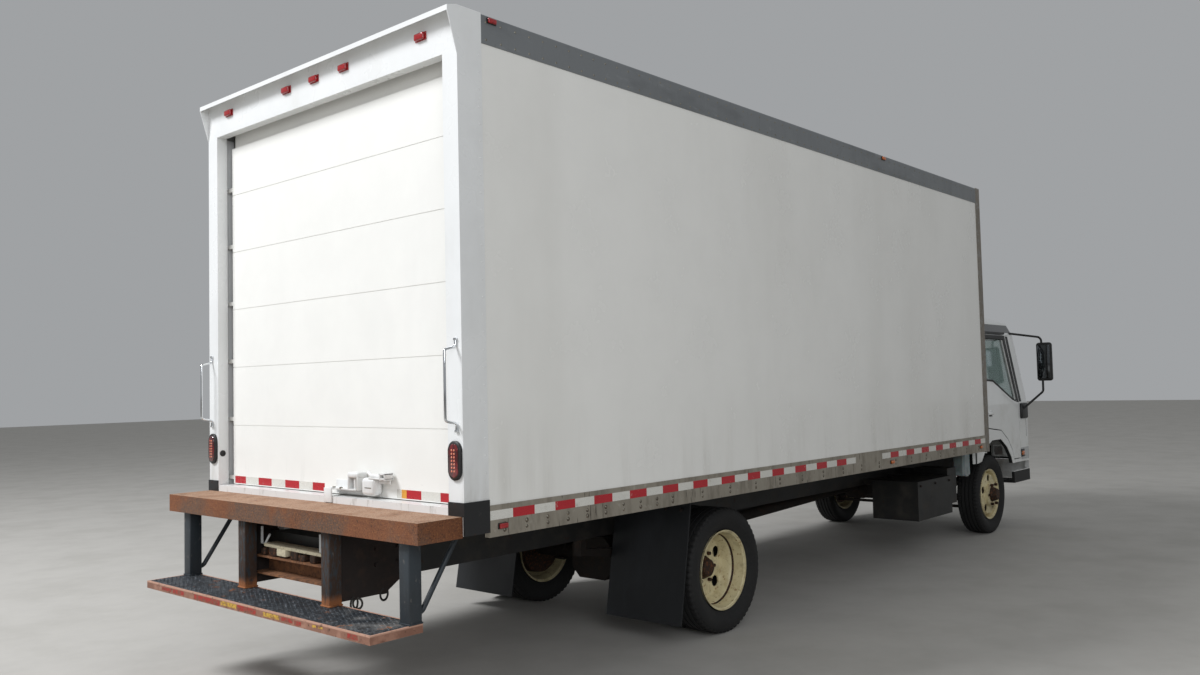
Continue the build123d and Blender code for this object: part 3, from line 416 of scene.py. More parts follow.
def steel_materials(colours):
    """Finishes of the platform, step, frame and running gear."""
    # unpainted chequer plate rusted brown, polished by boots where it stands proud
    surface(
        "rusted_chequer_plate", colours.rust, 0.85,
        zone("#A98A72", PLATE_TOP),
        mark("#7F5C42", 150, 0.45, 0.68, 0.6, fades=[PLATE_TOP]),
        mark("#C2A58D", 26, 0.6, 0.72, 0.5, fades=[PLATE_TOP]),
        mark("#5A4A3F", 300, 0.42, 0.62, 0.8, fades=[(2, 1.028, 1.0295)]),
        mark("#8A5A34", 9, 0.52, 0.62, 0.8),
        mark(RUST_DARK, 7, 0.56, 0.64, 0.75),
        mark("#2B211B", 60, 0.6, 0.74, 0.7),
        bump(9, 0.6), bump(26, 1.2, kind="cells", stretch=(1, 0.5, 1)), metallic=0.1, spread=0.25,
    )
    # drawbar plates: black with grease and shade outside, bare rust on the channel between them
    surface(
        "rusted_drawbar", "#7C5438", 0.85,
        mark("#9A6A45", 70, 0.45, 0.66, 0.6),
        mark("#4A3529", 30, 0.5, 0.64, 0.7),
        zone("#231B18", (1, -0.424, -0.4235)),
        zone("#231B18", (1, 0.424, 0.4235)),
        mark("#3C2A20", 90, 0.5, 0.7, 0.5),
        bump(8, 0.5), metallic=0.1, spread=0.2,
    )
    # box section painted blue grey, chipped to bare and rusted steel at the feet
    surface(
        "chipped_post_paint", colours.step_post, 0.5,
        mark("#23282C", 120, 0.42, 0.66, 0.7, stretch=(1, 1, 0.4)),
        mark("#6E6A66", 26, 0.6, 0.7, 0.6, stretch=(1, 1, 0.5), rough=0.7),
        mark(
            "#3D2818", 14, 0.36, 0.56, 0.85, stretch=(1, 1, 0.3),
            fades=[(1, 0.59, 0.6), (1, -0.59, -0.6)],
            rough=0.85,
        ),
        mark(
            RUST_LIGHT, 60, 0.3, 0.5, 0.9,
            fades=[(2, 0.565, 0.62), (1, 0.59, 0.6), (1, -0.59, -0.6)],
            rough=0.9,
        ),
        bump(20, 0.15), spread=0.15,
    )
    # pressed grip strutting: dark zinc and road dirt, with small pale blue-grey specks as painted
    # glints
    surface(
        "zinc_grip_plate", "#33383D", 0.5,
        # painted glints: small pale blue-grey specks
        mark("#8A9096", 14, 0.5, 0.66, 0.6),
        mark("#9A9894", 180, 0.45, 0.7, 0.6, fades=[(1, -0.75, -0.35)], rough=0.8),
        mark("#241C17", 60, 0.48, 0.7, 0.6, rough=0.8),
        mark(RUST_LIGHT, 90, 0.6, 0.72, 0.8, rough=0.9),
        bump(10, 0.3), metallic=0.45, spread=0.2,
    )
    # brushed warning paint, mostly flaked off to the rust
    surface(
        "flaked_red_paint", "#A02A22", 0.6,
        mark("#7C4A38", 26, 0.44, 0.56, 0.9),
        mark("#4A2A20", 9, 0.55, 0.64, 0.9),
        bump(8, 0.3), spread=0.15,
    )
    # the same warning paint in yellow, dulled by rust that shows through
    surface(
        "flaked_yellow_paint", "#C9A23C", 0.6,
        mark("#8A6238", 22, 0.46, 0.58, 0.9),
        mark("#4A2A20", 9, 0.55, 0.64, 0.8),
        bump(8, 0.3), spread=0.15,
    )
    # rim of the step: red and yellow paint left on rust
    surface(
        "rusted_step_rim", "#8A6250", 0.8,
        zone("#B9917D", (2, STEP[1].z - 0.004, STEP[1].z - 0.009)),
        mark("#A97F6B", 60, 0.45, 0.66, 0.6),
        mark(RUST_DARK, 26, 0.58, 0.7, 0.8),
        bump(12, 0.4), spread=0.2,
    )
    # sprayed chassis black with road film
    surface(
        "chassis_black_paint", "#1B1B1A", 0.55,
        mark("#4A443C", 150, 0.45, 0.75, 0.5, rough=0.85),
        mark(RUST_DARK, 40, 0.62, 0.74, 0.6, rough=0.9),
        bump(14, 0.2), spread=0.2,
    )
    # rough cast iron: dull brown black with oily soot
    surface(
        "cast_iron_axle", "#26211D", 0.78,
        mark("#463327", 60, 0.48, 0.7, 0.6, rough=0.9),
        mark(SOOT, 120, 0.5, 0.72, 0.6),
        bump(5, 0.4), metallic=0.25, spread=0.2,
    )
    # grey cast alloy, stained dark by oil
    surface(
        "cast_engine_alloy", "#5F5D5A", 0.6,
        mark("#2A2622", 80, 0.45, 0.7, 0.7, rough=0.8),
        bump(6, 0.3), metallic=0.5, spread=0.15,
    )
    # old cream paint on a board, matt and spotted with rust
    surface(
        "cream_board_paint", "#D8CDB0", 0.7,
        mark("#8C7A5E", 60, 0.5, 0.7, 0.6),
        mark("#5B4632", 14, 0.6, 0.7, 0.7),
        bump(10, 0.2),
    )
    # aluminised steel pipe browned by heat
    surface(
        "heat_browned_steel", "#46403A", 0.65,
        mark("#6A5C50", 70, 0.5, 0.7, 0.5),
        mark(RUST_DARK, 50, 0.55, 0.72, 0.7, rough=0.9),
        bump(12, 0.2), metallic=0.4,
    )
    # turned steel with a soft sheen under a skin of orange rust
    surface(
        "machined_hub_rust", "#3A2A20", 0.7,
        mark("#7C4E31", 18, 0.5, 0.66, 0.8, rough=0.9),
        mark(SOOT, 30, 0.55, 0.7, 0.7),
        bump(4, 0.3), metallic=0.4, spread=0.2,
    )
    # ivory paint on pressed steel, rust spots and brake dust
    surface(
        "ivory_wheel_paint", colours.wheel_ivory, 0.42,
        mark("#B7A67A", 70, 0.45, 0.7, 0.6),
        mark("#8E6B42", 30, 0.58, 0.68, 0.75, rough=0.75),
        mark(RUST_DARK, 14, 0.66, 0.72, 0.9, rough=0.9),
        mark("#5E5647", 110, 0.52, 0.75, 0.45, rough=0.7),
        bump(10, 0.08), spread=0.08,
    )
    # drawn steel with bright chrome, pitted in spots
    surface(
        "chrome_plate", "#D9DBDD", 0.1,
        mark("#7B6E60", 6, 0.72, 0.78, 0.6, rough=0.6),
        bump(40, 0.02), metallic=1.0, spread=0.03,
    )
    # bright zinc gone dull, with brown pits
    surface(
        "zinc_bolt", "#8F8B80", 0.45,
        mark("#4B4034", 10, 0.5, 0.7, 0.7, rough=0.8),
        bump(3, 0.05), metallic=0.8,
    )


def moulded_materials(colours):
    """Finishes of rubber, plastic, glass, tape and cloth."""
    # carbon black rubber, greyed by dust on the walls
    surface(
        "tyre_rubber_dusty", "#151515", 0.78,
        mark("#2C2A27", 130, 0.45, 0.78, 0.4, rough=0.9),
        mark("#2B2926", 12, 0.5, 0.7, 0.5),
        bump(2.5, 0.12), spread=0.15,
    )
    # black rubber sheet with a lazy wave and a grey bloom of dust
    surface(
        "flap_rubber_sheet", "#14171A", 0.6,
        mark("#33353A", 190, 0.45, 0.78, 0.5, stretch=(1, 1, 0.35), rough=0.8),
        bump(160, 1.5), bump(3, 0.05), spread=0.15,
    )
    # satin black moulding with a fine grain, greyed in patches
    surface(
        "black_moulded_plastic", "#141414", 0.45,
        mark("#3A3834", 120, 0.5, 0.8, 0.4, rough=0.7),
        bump(1.2, 0.04),
    )
    # dark grey grained plastic, matt and a little faded
    surface(
        "grey_dash_plastic", "#34363A", 0.55,
        mark("#5B5A56", 160, 0.5, 0.8, 0.3, rough=0.75),
        bump(1.6, 0.08, kind="cells"),
    )
    # milky plastic with the level of the coolant showing as a stain
    surface(
        "translucent_bottle", "#8F9A9B", 0.4,
        mark("#5E6662", 90, 0.45, 0.75, 0.6),
        mark("#6B8C7A", 160, 0.3, 0.9, 0.2),
        bump(30, 0.2), Subsurface_Weight=0.3,
    )
    # glossy red lens with prisms that break up its colour
    surface(
        "red_lamp_lens", colours.lens_red, 0.16,
        mark("#5E0A0E", 9, 0.48, 0.62, 0.6),
        bump(4, 0.25, kind="cells"), Coat_Weight=0.6,
    )
    # deep ruby of an unlit tail lamp, with its diodes as pale points, painted bright as their
    # glints
    surface(
        "tail_lamp_ruby", "#42080C", 0.12,
        mark("#8E1017", 60, 0.45, 0.65, 0.5, stretch=(1, 2.5, 1)),
        bump(5, 0.3, kind="cells"), Coat_Weight=0.8,
    )
    # small pale domes that stand out on the dark ruby: the diodes, painted bright as the glints on
    # them
    surface("lamp_diode", "#D98B70", 0.2, mark("#D5302F", 8, 0.5, 0.66, 0.6), bump(2, 0.05))
    # the same prismatic lens in amber
    surface(
        "amber_lamp_lens", "#C8661A", 0.16,
        mark("#8E3F0C", 9, 0.48, 0.62, 0.6),
        bump(4, 0.25, kind="cells"), Coat_Weight=0.6,
    )
    # prismatic film: glass-smooth over a fine honeycomb
    surface(
        "red_reflective_tape", colours.tape_red, 0.26,
        mark("#7E1218", 5, 0.5, 0.62, 0.4),
        mark("#C9B9AE", 40, 0.66, 0.76, 0.35, rough=0.6),
        bump(4, 0.05, kind="cells"),
    )
    # the same film in white, greyed where road dirt holds
    surface(
        "white_reflective_tape", colours.tape_white, 0.26,
        mark("#A9A79E", 5, 0.5, 0.62, 0.4),
        mark("#86806F", 50, 0.6, 0.75, 0.45, rough=0.6),
        bump(4, 0.05, kind="cells"),
    )
    # the same film in amber
    surface(
        "amber_reflective_tape", "#D79A3C", 0.3,
        mark("#B26F22", 12, 0.5, 0.66, 0.5),
        bump(4, 0.05, kind="cells"),
    )
    # glossy white enamel under a clear coat, dusty towards the sill
    surface(
        "cab_enamel_white", colours.cab_white, 0.2,
        *CAB_WEAR,
        bump(3, 0.008), spread=0.03, Coat_Weight=0.5,
    )
    # the shell: enamel outside, a dark band over the doors, black in the arches, grey trim inside
    surface(
        "cab_shell_enamel", colours.cab_white, 0.2,
        *CAB_WEAR,
        zone("#121315", (2, 2.105, 2.1), (2, 2.185, 2.19), (1, 0.8, 0.79)),
        zone("#121315", (2, 2.105, 2.1), (2, 2.185, 2.19), (1, -0.8, -0.79)),
        zone(
            "#6B6C6B", (1, 0.95, 0.955), (1, -0.95, -0.955), (0, 2.815, 2.81), (0, 4.15, 4.16),
            (2, 2.05, 2.06), rough=0.7,
        ),
        zone(
            "#101112", (1, 1.024, 1.026), (1, -1.024, -1.026), (2, 1.235, 1.24), (0, 3.955, 3.96),
            (0, 2.8, 2.79), rough=0.8,
        ),
        zone("#101112", (2, 0.735, 0.745), (1, 0.99, 1.0), (1, -0.99, -1.0), rough=0.8),
        bump(3, 0.008), spread=0.03, Coat_Weight=0.4,
    )
    # bumper: enamel on its face, bare black moulding on the lower ends and the step wells
    surface(
        "bumper_enamel", colours.cab_white, 0.25,
        mark(DUST, 100, 0.42, 0.78, 0.5, rough=0.6),
        zone("#141414", (2, 0.6, 0.604), (0, FACE_X - 0.13, FACE_X - 0.125), rough=0.6),
        bump(3, 0.01), spread=0.03,
    )
    # clear glass with a faint green tint and an almost flat face
    surface(
        "tinted_window_glass", "#C4D2CE", 0.03,
        bump(600, 0.05), spread=0.03, IOR=1.5, Transmission_Weight=0.92,
    )
    # clear moulding with upright ribs that blur what is behind
    surface(
        "clear_lamp_lens", "#E4E6E6", 0.06,
        bump(16, 0.5, kind="bands"), spread=0.03, IOR=1.49, Transmission_Weight=0.45,
    )
    # silvered glass: a dark clean mirror with a few dull spots
    surface(
        "mirror_silver", "#5A5D60", 0.05,
        mark("#8A8A84", 40, 0.68, 0.8, 0.3, rough=0.4),
        metallic=1.0, spread=0.02,
    )
    # woven seat cloth: 2 mm yarns, drawn at 4 mm so that they show
    surface(
        "woven_seat_cloth", "#3C4046", 0.92,
        mark("#565B63", 4, 0.48, 0.6, 0.6, stretch=(1, 2.2, 1)),
        mark("#2B2D31", 160, 0.45, 0.75, 0.4),
        bump(4, 0.4, kind="cells"), Sheen_Weight=0.4,
    )


# Which CAD nodes wear each finish, where no piece of the scene stands for them
FINISH_NODES = {
    "chassis_black_paint": "chassis_frame fuel_tank battery_box radiator",
    "cast_iron_axle": "front_axle rear_axle driveline knuckle_left knuckle_right tie_rod",
    "cast_engine_alloy": "engine_block",
    "heat_browned_steel": "exhaust",
    "translucent_bottle": "coolant_bottle",
    "flap_rubber_sheet": "mud_flaps",
    "varnished_floor_boards": "box_floor",
    "enamel_panel_white": "box_panels",
    "weathered_aluminium": "box_rails",
    "galvanised_steel": "front_posts",
    "enamel_post_white": "rear_posts rear_header door_latch",
    "enamel_door_white": "roll_up_door",
    "black_scuff_plate": "scuff_plates",
    "chrome_plate": "grab_handles",
    "red_lamp_lens": "lamps",
    "rusted_chequer_plate": "rear_platform",
    "chipped_post_paint": "step_posts",
    "rusted_step_rim": "rear_step",
    "rusted_drawbar": "tow_hitch",
    "bumper_enamel": "front_bumper",
    "cab_shell_enamel": "cab_shell",
    "tinted_window_glass": "cab_glass door_glass_left door_glass_right",
    "clear_lamp_lens": "headlamps",
    "black_moulded_plastic": "grille mirrors",
    "grey_dash_plastic": "dashboard steering_wheel",
    "woven_seat_cloth": "seats",
    "cab_enamel_white": "door_left door_right",
    "tyre_rubber_dusty": "front_tyre_left front_tyre_right rear_tyres_left rear_tyres_right",
    "ivory_wheel_paint": "front_wheel_left front_wheel_right rear_wheels_left rear_wheels_right",
}


# Mesh making


def angles(count):
    """Equal steps round a circle, in radians."""
    return [2 * math.pi * step / count for step in range(count)]


def skin(bm, rings, closed=False):
    """Faces between neighbouring rings of points, with caps at the ends of an open row."""
    for one, other in zip(rings, rings[1:] + rings[:1] if closed else rings[1:]):
        for i in range(len(one)):
            j = (i + 1) % len(one)
            bm.faces.new((one[i], one[j], other[j], other[i]))
    if not closed:
        bm.faces.new(rings[0][::-1])
        bm.faces.new(rings[-1])


def add_box(bm, x, y, z, bevel=0.0, segments=2):
    """A block between pairs of limits in metres, its edges rounded."""
    middle = Vector(((x[0] + x[1]) / 2, (y[0] + y[1]) / 2, (z[0] + z[1]) / 2))
    size = Matrix.Diagonal((abs(x[1] - x[0]), abs(y[1] - y[0]), abs(z[1] - z[0]), 1))
    made = bmesh.ops.create_cube(bm, size=1.0, matrix=Matrix.Translation(middle) @ size)
    if bevel:
        edges = {edge for vert in made["verts"] for edge in vert.link_edges}
        bmesh.ops.bevel(
            bm, geom=list(edges), offset=bevel, segments=segments, profile=0.5, affect="EDGES"
        )


def add_turned(bm, centre, profile, steps, side=1):
    """A closed form turned about the Y axis through centre. profile is (outboard, radius)."""
    rings = []
    for a in angles(steps):
        places = [
            centre + Vector((r * math.cos(a), side * out, r * math.sin(a))) for out, r in profile
        ]
        rings.append([bm.verts.new(place) for place in places])
    skin(bm, rings, closed=True)


def bent_bar(points, bend, steps):
    """The middle line of a rigid bar: straight runs joined by arcs, in metres."""
    line = [Vector(points[0])]
    for before, corner, after in zip(points, points[1:], points[2:]):
        corner = Vector(corner)
        back = (Vector(before) - corner).normalized()
        ahead = (Vector(after) - corner).normalized()
        half = back.angle(ahead) / 2
        run = bend / math.tan(half)
        centre = corner + (back + ahead).normalized() * (bend / math.sin(half))
        start, end = corner + back * run - centre, corner + ahead * run - centre
        for step in range(steps + 1):
            line.append(centre + start.slerp(end, step / steps) * bend)
    line.append(Vector(points[-1]))
    return line


def add_tube(bm, points, radius, sides, flat=1.0):
    """A round bar along a line of points, closed at both ends."""
    line = [Vector(point) for point in points]
    rings = []
    across = None
    for i, place in enumerate(line):
        ahead = (line[min(i + 1, len(line) - 1)] - line[max(i - 1, 0)]).normalized()
        if across is None:
            across = ahead.orthogonal().normalized()
        across = (across - ahead * across.dot(ahead)).normalized()
        up = ahead.cross(across)
        turns = [across * math.cos(a) + up * math.sin(a) * flat for a in angles(sides)]
        rings.append([bm.verts.new(place + turn * radius) for turn in turns])
    skin(bm, rings)


def shade(mesh):
    """Smooth shading, with edges over 35 degrees kept sharp."""
    mesh.shade_smooth()
    mesh.set_sharp_from_angle(angle=math.radians(35))
    return mesh


def to_mesh(bm, name, smooth=True):
    """The finished mesh, its faces pointing outwards."""
    bmesh.ops.remove_doubles(bm, verts=bm.verts, dist=1e-6)
    bmesh.ops.recalc_face_normals(bm, faces=bm.faces)
    mesh = bpy.data.meshes.new(name)
    bm.to_mesh(mesh)
    bm.free()
    return shade(mesh) if smooth else mesh


def link(name, data):
    """A new object in the scene."""
    made = bpy.data.objects.new(name, data)
    bpy.context.scene.collection.objects.link(made)
    return made


def baked(piece):
    """The piece's mesh with its modifiers applied."""
    bpy.context.view_layer.update()
    evaluated = piece.evaluated_get(bpy.context.evaluated_depsgraph_get())
    return bpy.data.meshes.new_from_object(evaluated)


def add_piece(name, form, finish, body, replaced=(), smooth=True):
    """Puts a form in the scene with its finish and body, and hides what it stands for."""
    mesh = to_mesh(form, name, smooth) if isinstance(form, bmesh.types.BMesh) else form
    piece = link(name, mesh)
    mesh.materials.clear()
    mesh.materials.append(MATERIALS[finish])
    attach(piece, body)
    if replaced:
        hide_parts(*replaced)
    return piece


def add_plastic(name, form, body="cab", replaced=(), smooth=True):
    """A piece in black moulded plastic."""
    add_piece(name, form, "black_moulded_plastic", body, replaced, smooth)


def repeat_tree(name):
    """Geometry Nodes: a tapered stud on each point, turned to the point's facing attribute."""
    tree = bpy.data.node_groups.new(name, "GeometryNodeTree")
    inputs = (
        # name, socket type, value
        ("Geometry", "NodeSocketGeometry", None),
        ("Sides", "NodeSocketInt", 8),
        ("Radius", "NodeSocketFloat", 0.006),
        ("Top Radius", "NodeSocketFloat", 0.003),
        ("Height", "NodeSocketFloat", 0.003),
        ("Stretch", "NodeSocketVector", (1.0, 1.0, 1.0)),
        ("Turn", "NodeSocketFloat", 0.0),
        ("Size Spread", "NodeSocketFloat", 0.0),
        ("Seed", "NodeSocketInt", 3),
        ("Material", "NodeSocketMaterial", None),
    )
    for label, kind, value in inputs:
        made = tree.interface.new_socket(name=label, in_out="INPUT", socket_type=kind)
        if value is not None:
            made.default_value = value
    tree.interface.new_socket(name="Geometry", in_out="OUTPUT", socket_type="NodeSocketGeometry")
    given = add_node(tree, "NodeGroupInput").outputs
    sizes = {
        "Vertices": given["Sides"],
        "Radius Top": given["Top Radius"],
        "Radius Bottom": given["Radius"],
        "Depth": given["Height"],
    }
    cone = add_node(tree, "GeometryNodeMeshCone", sizes, fill_type="NGON").outputs["Mesh"]
    turn = add_node(tree, "ShaderNodeCombineXYZ", {2: given["Turn"]}).outputs[0]
    form = {"Geometry": cone, "Rotation": turn, "Scale": given["Stretch"]}
    shaped = add_node(tree, "GeometryNodeTransform", form).outputs[0]
    facing = add_node(
        tree, "GeometryNodeInputNamedAttribute", {"Name": "facing"}, data_type="FLOAT_VECTOR"
    ).outputs[0]
    align = add_node(tree, "FunctionNodeAlignRotationToVector", {"Vector": facing}, axis="Z")
    turned = align.outputs[0]
    spread = {0: 1.0, 1: given["Size Spread"]}
    least = add_node(tree, "ShaderNodeMath", spread, operation="SUBTRACT").outputs[0]
    limits = {2: least, 3: 1.0, "Seed": given["Seed"]}
    scatter = add_node(tree, "FunctionNodeRandomValue", limits, data_type="FLOAT").outputs[1]
    layout = {"Points": given["Geometry"], "Instance": shaped, "Rotation": turned, "Scale": scatter}
    placed = add_node(tree, "GeometryNodeInstanceOnPoints", layout).outputs[0]
    real = add_node(tree, "GeometryNodeRealizeInstances", {0: placed}).outputs[0]
    coat = {"Geometry": real, "Material": given["Material"]}
    coated = add_node(tree, "GeometryNodeSetMaterial", coat).outputs[0]
    add_node(tree, "NodeGroupOutput", {0: coated})
    return tree


def add_repeats(name, rows, body, slot, finish, **sizes):
    """One mesh of studs at rows of (place, facing), made by the repeat tree."""
    tree = bpy.data.node_groups.get("stud_repeats") or repeat_tree("stud_repeats")
    points = bpy.data.meshes.new(name + "_points")
    points.from_pydata([tuple(place) for place, facing in rows], [], [])
    attribute = points.attributes.new("facing", "FLOAT_VECTOR", "POINT")
    for i, (place, facing) in enumerate(rows):
        attribute.data[i].vector = facing
    holder = link(name + "_holder", points)
    modifier = holder.modifiers.new("repeats", "NODES")
    modifier.node_group = tree
    sizes["Material"] = MATERIALS[finish]
    for item in tree.interface.items_tree:
        key = item.name.replace(" ", "_")
        if item.in_out == "INPUT" and key in sizes:
            modifier[item.identifier] = sizes[key]
    mesh = baked(holder)
    bpy.data.objects.remove(holder)
    mesh.name = name
    return add_piece(name, mesh, finish, body)


# Pieces


def side_tape():
    """Red and white tape in turn along both bottom rails, left bare where it has worn off."""
    sizes = bpy.context.scene.truck_sizes
    low = RAILS[0].z + 0.082
    worn = REAR_X + 3.98, REAR_X + 4.38
    rows = {"red": [], "white": []}
    place, last, colour = REAR_X + 0.162, FRONT_POSTS[0].x - 0.01, "white"
    while place < last:
        end = min(place + sizes.tape_pitch, last)
        if not worn[0] < (place + end) / 2 < worn[1]:
            rows[colour].append((place, end))
        place, colour = end, "red" if colour == "white" else "white"
    for colour, spans in rows.items():
        bm = bmesh.new()
        for side in (1, -1):
            outer = side * (HALF_BOX + sizes.tape_film)
            for span in spans:
                add_box(bm, span, (side * HALF_BOX, outer), (low, low + sizes.tape_height))
        finish = f"{colour}_reflective_tape"
        add_piece(f"side_tape_{colour}", bm, finish, "chassis", smooth=False)


def door_tape():
    """Tape across the foot of the door, broken where the latch stands."""
    film = bpy.context.scene.truck_sizes.tape_film
    face, height = DOOR[0].x, (1.077, 1.121)
    spans = (
        # colour, from y, to y
        ("red", 1.05, 0.92), ("white", 0.92, 0.77), ("red", 0.77, 0.62), ("white", 0.62, 0.47),
        ("red", 0.47, 0.32), ("white", 0.32, 0.18), ("red", 0.18, 0.06),
        ("white", -0.60, -0.64), ("amber", -0.64, -0.68),
        ("red", -0.68, -0.80), ("white", -0.80, -0.95),
        ("red", -0.95, -1.06),
    )
    for colour in ("red", "white", "amber"):
        bm = bmesh.new()
        for name, start, end in spans:
            if name == colour:
                add_box(bm, (face - film, face), (end, start), height)
        finish = f"{colour}_reflective_tape"
        add_piece(f"door_tape_{colour}", bm, finish, "chassis", smooth=False)


def rail_rivets():
    """Rivet pairs with grime round them on the bottom rails, and rows on top rails and posts."""
    sizes = bpy.context.scene.truck_sizes
    front_x = FRONT_POSTS[0].x
    pair = (RAILS[0].z + 0.030, RAILS[0].z + 0.060)
    upper = (RAILS[1].z - 0.128, RAILS[1].z - 0.040)
    close_end, close, wide_apart, upper_pitch = REAR_X + 1.55, 0.15, 0.30, 0.10
    post_rows, post_pitch, inset = 26, 0.085, 0.018
    rail, post, grime = [], [], []
    for side in (1, -1):
        out = Vector((0, side, 0))
        y = side * HALF_BOX
        place = REAR_X + 0.255
        while place < front_x - 0.04:
            for z in pair:
                rail.append((Vector((place, y, z)), out))
                grime.append((Vector((place + 0.002, y, z - 0.003)), out))
            place += close if place < close_end else wide_apart
        place = REAR_X + 0.19
        while place < front_x:
            for z in upper:
                rail.append((Vector((place, y, z)), out))
            place += upper_pitch
        for step in range(post_rows):
            z = POSTS[0].z + 0.2 + step * post_pitch
            post.append((Vector((POSTS[1].x - inset, y, z)), out))
            rail.append((Vector((front_x + inset, y, z)), out))
    radius, height = sizes.rivet_radius, sizes.rivet_height
    for name, rows, finish, wide, tall, slot, spread in (
        ("rail_rivets", rail, "zinc_bolt", radius, height, "rail_aluminium", 0.0),
        ("post_rivets", post, "enamel_post_white", radius * 0.8, height, "post_paint", 0.0),
        ("rivet_grime", grime, "rivet_grime", radius * 2.0, 0.0008, "rail_aluminium", 0.3),
    ):
        add_repeats(
            name, rows, "chassis", slot, finish,
            Sides=10, Radius=wide, Top_Radius=wide * 0.5, Height=tall, Size_Spread=spread,
        )


def step_grip():
    """The lower step's grip: raised diamonds in staggered rows, on the rusty plate."""
    pitch = bpy.context.scene.truck_sizes.grip_pitch
    low, high = STEP
    rows = []
    line = 0
    x = low.x + 0.03
    while x < high.x - 0.02:
        y = low.y + 0.03 + (line % 2) * pitch
        while y < high.y - 0.02:
            off_post = min(abs(abs(y) - post) for post in STEP_POST_Y)
            inside_post = x > high.x - 0.085 and off_post < 0.05
            if not inside_post:
                rows.append((Vector((x, y, high.z - 0.0015)), Vector((0, 0, 1))))
            y += 2 * pitch
        x += pitch * 0.5
        line += 1
    add_repeats(
        "step_grip", rows, "chassis", "step_steel", "zinc_grip_plate",
        Sides=5, Radius=pitch * 0.34, Top_Radius=pitch * 0.2, Height=0.005, Stretch=(0.8, 1.3, 1.0),
        Size_Spread=0.25,
    )
    bm = bmesh.new()
    rim = 0.012
    plate_x, plate_y = (low.x + rim, high.x - rim), (low.y + rim, high.y - rim)
    add_box(bm, plate_x, plate_y, (high.z - 0.004, high.z + 0.0004), 0.001)
    add_piece("step_plate", bm, "zinc_grip_plate", "chassis")


def step_rim_paint():
    """What is left of red and yellow blocks on the step's rear rim."""
    face, top = STEP[0].x, STEP[1].z
    patches = (
        # colour, from y, to y, height from the rim's top, lower edge
        ("red", 0.905, 0.790, 0.013, 0.030), ("red", 0.775, 0.640, 0.010, 0.033),
        ("red", 0.523, 0.240, 0.009, 0.036), ("yellow", 0.228, 0.062, 0.008, 0.030),
        ("red", 0.056, -0.130, 0.007, 0.034), ("yellow", -0.199, -0.350, 0.010, 0.031),
        ("red", -0.370, -0.470, 0.011, 0.030), ("red", -0.485, -0.545, 0.014, 0.034),
        ("yellow", -0.640, -0.672, 0.012, 0.024), ("yellow", -0.690, -0.728, 0.012, 0.022),
        ("red", -0.925, -1.005, 0.010, 0.032),
    )
    for colour in ("red", "yellow"):
        bm = bmesh.new()
        for name, start, end, upper, lower in patches:
            if name == colour:
                add_box(bm, (face - 0.0006, face), (end, start), (top - lower, top - upper), 0.0002)
        finish = f"flaked_{colour}_paint"
        add_piece(f"step_rim_{colour}", bm, finish, "chassis", smooth=False)


def lamp_bodies():
    """Tail lamps with their rubber rings and lenses, and the clearance lamps on their bases."""
    red, amber, black, ruby = bmesh.new(), bmesh.new(), bmesh.new(), bmesh.new()
    diodes = []
    straight, pitch = 0.0475, 0.0165
    lamps = (
        # how far ahead of the rear face, height, lens
        (0.225, 3.452, red), (4.578, 3.452, amber), (0.243, 0.962, red), (4.534, 0.959, amber),
        (6.460, 0.962, amber),
    )
    for side in (1, -1):
        # the diodes: pale points, painted bright as their glints
        for row in range(7):
            for column in (-0.009, 0.009):
                place = Vector(
                    (REAR_X - 0.0203, side * LAMP_Y + column, LAMP_Z + (row - 3) * pitch)
                )
                diodes.append((place, Vector((-1, 0, 0))))
        for radius, depth, bm in ((0.046, 0.016, black), (0.034, 0.0205, ruby)):
            ring = []
            for angle in angles(48):
                up = math.copysign(straight, math.sin(angle))
                ring.append((radius * math.cos(angle), up + radius * math.sin(angle)))
            layers = []
            for reach, grow in (
                (0.0, 1.0), (depth * 0.7, 1.0), (depth * 0.93, 0.94), (depth, 0.80)
            ):
                places = [
                    (REAR_X - reach, side * LAMP_Y + y * grow, LAMP_Z + z * grow) for y, z in ring
                ]
                layers.append([bm.verts.new(place) for place in places])
            skin(bm, layers)
        for reach, z, lens in lamps:
            x = REAR_X + reach
            base_y = (side * HALF_BOX, side * (HALF_BOX + 0.004))
            lens_y = (side * (HALF_BOX + 0.003), side * (HALF_BOX + 0.0155))
            add_box(black, (x - 0.032, x + 0.032), base_y, (z - 0.015, z + 0.015), 0.0015)
            add_box(lens, (x - 0.027, x + 0.027), lens_y, (z - 0.0125, z + 0.0125), 0.005, 3)
    for y in (-0.950, -0.286, 0.0, 0.286, 0.950):
        add_box(red, (REAR_X - 0.005, REAR_X), (y - 0.043, y + 0.043), (3.364, 3.406), 0.002)
        add_box(
            red, (REAR_X - 0.0215, REAR_X - 0.004), (y - 0.037, y + 0.037), (3.367, 3.403),
            0.0085, 4,
        )
    add_piece("red_lenses", red, "red_lamp_lens", "chassis", ["lamps"])
    add_piece("tail_lenses", ruby, "tail_lamp_ruby", "chassis")
    add_repeats(
        "tail_diodes", diodes, "chassis", "lamp_red", "lamp_diode",
        Sides=10, Radius=0.0058, Top_Radius=0.0040, Height=0.0016,
    )
    add_piece("amber_lenses", amber, "amber_lamp_lens", "chassis")
    add_plastic("lamp_rubbers", black, "chassis")


